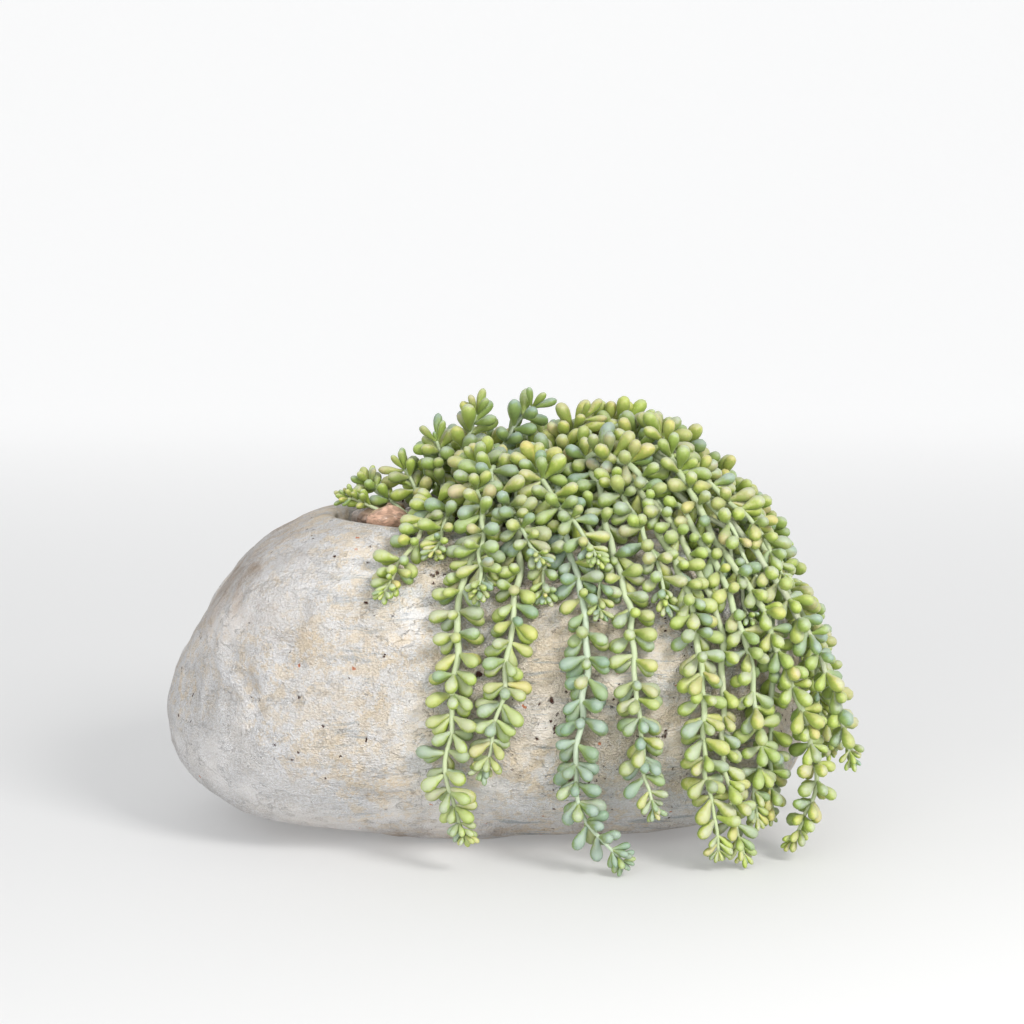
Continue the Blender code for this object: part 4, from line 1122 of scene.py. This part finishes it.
# How blue a traced stem is at its root and at its tip, and how much its leaves blush.
TRACED_TINTS = (
    (0.05, 0.0, 0.0), (0.2, 0.15, 0.05), (0.32, 0.10, 0.0), (0.2, 0.3, 0.25), (0.40, 0.25, 0.0),
    (0.3, 0.4, 0.2), (0.35, 1.6, 0.15), (0.4, 0.5, 0.3), (0.35, 0.45, 0.1), (0.4, 0.4, 0.3), (0.3, 0.1, 0.1),
    (0.4, 0.05, 0.1), (0.45, 0.2, 0.2), (0.4, 0.4, 0.4), (0.5, 0.4, 0.3), (0.5, 0.0, 0.1), (0.6, 0.35, 0.1),
    (0.2, 0.2, 0.1), (0.3, 0.3, 0.2), (0.4, 0.45, 0.2), (0.4, 0.45, 0.1), (0.5, 0.5, 0.1), (0.75, 0.9, 0.0),
    (0.3, 0.1, 0.3), (0.3, 0.1, 0.4),
)


def stem_tube(line):
    """A round tube along a stem, thinner towards its tip, with closed ends."""
    fine = smooth_line(line, STEM_FINE_STEP)
    guide = bpy.data.curves.new("stem_guide", "CURVE")
    guide.dimensions = "3D"
    guide.bevel_depth = STEM_THICKNESS
    guide.bevel_resolution = STEM_ROUNDNESS
    guide.use_fill_caps = True
    spline = guide.splines.new("POLY")
    spline.points.add(len(fine) - 1)
    for index, (corner, point) in enumerate(zip(spline.points, fine)):
        corner.co = (*point, 1.0)
        to_tip = min(1.0, (len(fine) - 1 - index) * STEM_FINE_STEP / STEM_TAPER)
        corner.radius = STEM_TIP_SHARE + (1.0 - STEM_TIP_SHARE) * to_tip
    carrier = bpy.data.objects.new("stem_guide", guide)
    bpy.context.scene.collection.objects.link(carrier)
    mesh = bpy.data.meshes.new_from_object(carrier.evaluated_get(bpy.context.evaluated_depsgraph_get()))
    bpy.data.objects.remove(carrier)
    welded = bmesh.new()
    welded.from_mesh(mesh)
    bmesh.ops.remove_doubles(welded, verts=welded.verts, dist=0.01 * MM)
    welded.to_mesh(mesh)
    welded.free()
    return mesh


rng = np.random.default_rng(TINT_SEED)
stem_tints = list(TRACED_TINTS)
for _ in range(len(lines) - len(stem_tints)):
    stem_tints.append([rng.uniform(*limits) for limits in DRAWN_TINTS])

for stem, (line, (blue_root, blue_tip, blush_of_stem)) in enumerate(zip(lines, stem_tints)):
    tube = stem_tube(line)
    shape = bmesh.new()
    shape.from_mesh(tube)
    bpy.data.meshes.remove(tube)
    tube_points = len(shape.verts)
    tube_faces = len(shape.faces)
    carried = {name: [np.zeros(tube_points)] for name in ("along", "tone", "blush", "dusty")}
    carried["blue"] = [np.full(tube_points, min(1.0, 0.5 * (blue_root + blue_tip)))]
    for _, root, way, length, plump, _, down_stem in (leaf for leaf in leaves if leaf[5] == stem):
        start = len(shape.verts)
        shape.from_mesh(leaf_forms[rng.integers(len(leaf_forms))])
        shape.verts.ensure_lookup_table()
        spin = Matrix.Rotation(rng.uniform(0.0, LEAF_SPIN), 3, "Z")
        facing = Vector(way).to_track_quat("Z", "Y").to_matrix() @ spin
        fullness = plump / LEAF_PLUMPNESS * rng.uniform(*LEAF_FULLNESS)
        sized = Matrix.Translation(root) @ facing.to_4x4() @ Matrix.Diagonal((fullness, fullness, 1.0, 1.0))
        bmesh.ops.transform(shape, verts=shape.verts[start:], matrix=sized @ Matrix.Scale(length, 4))
        height = crown_share(root[2])
        own = {"tone": rng.normal(LEAF_TONE[0] + LEAF_TONE[1] * height, LEAF_TONE[2])}
        own["blue"] = (blue_root + (blue_tip - blue_root) * down_stem) * rng.uniform(*BLUE_SWING)
        own["blue"] += rng.normal(0.0, BLUE_SPREAD)
        if rng.uniform() < BLUE_LEAF_CHANCE:
            own["blue"] += BLUE_LEAF_LIFT
        redness = rng.uniform(0.0, 1.0) ** BLUSH_RARITY * blush_of_stem * (1.0 + CROWN_BLUSH * height)
        own["blush"] = min(MOST_BLUSH, redness * BLUSH_STRENGTH)
        own["dusty"] = rng.uniform(0.0, 1.0)
        carried["along"].append(leaf_along)
        for name, value in own.items():
            carried[name].append(np.full(len(leaf_along), np.clip(value, 0.0, 1.0)))
    shape.faces.ensure_lookup_table()
    for face in shape.faces[tube_faces:]:
        face.material_index = 1
    piece = finished(f"leafy_stem_{stem + 1:02d}", shape, [stem_skin, leaf_skin])
    woody = np.full(len(piece.data.vertices), rng.uniform(0.0, 1.0) ** WOODY_RARITY)
    places = np.empty(3 * len(piece.data.vertices))
    piece.data.vertices.foreach_get("co", places)
    # How far each point faces the sky and out from the boulder: the finish paints a highlight there and shade
    # away from it.
    facing = np.empty_like(places)
    piece.data.vertex_normals.foreach_get("vector", facing)
    skyward = unit(unit(places.reshape(-1, 3) - HEART) + SKY_PULL * np.array([0.0, 0.0, 1.0]))
    carried["sunny"] = [(facing.reshape(-1, 3) * skyward).sum(1)]
    carried["woody"] = [woody]
    for name, values in carried.items():
        layer = piece.data.attributes.new(name, "FLOAT", "POINT")
        layer.data.foreach_set("value", np.concatenate(values).astype(np.float32))
    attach(piece, "root")
    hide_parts(f"sedum_stem_{stem + 1:02d}")

for form in leaf_forms:
    bpy.data.meshes.remove(form)
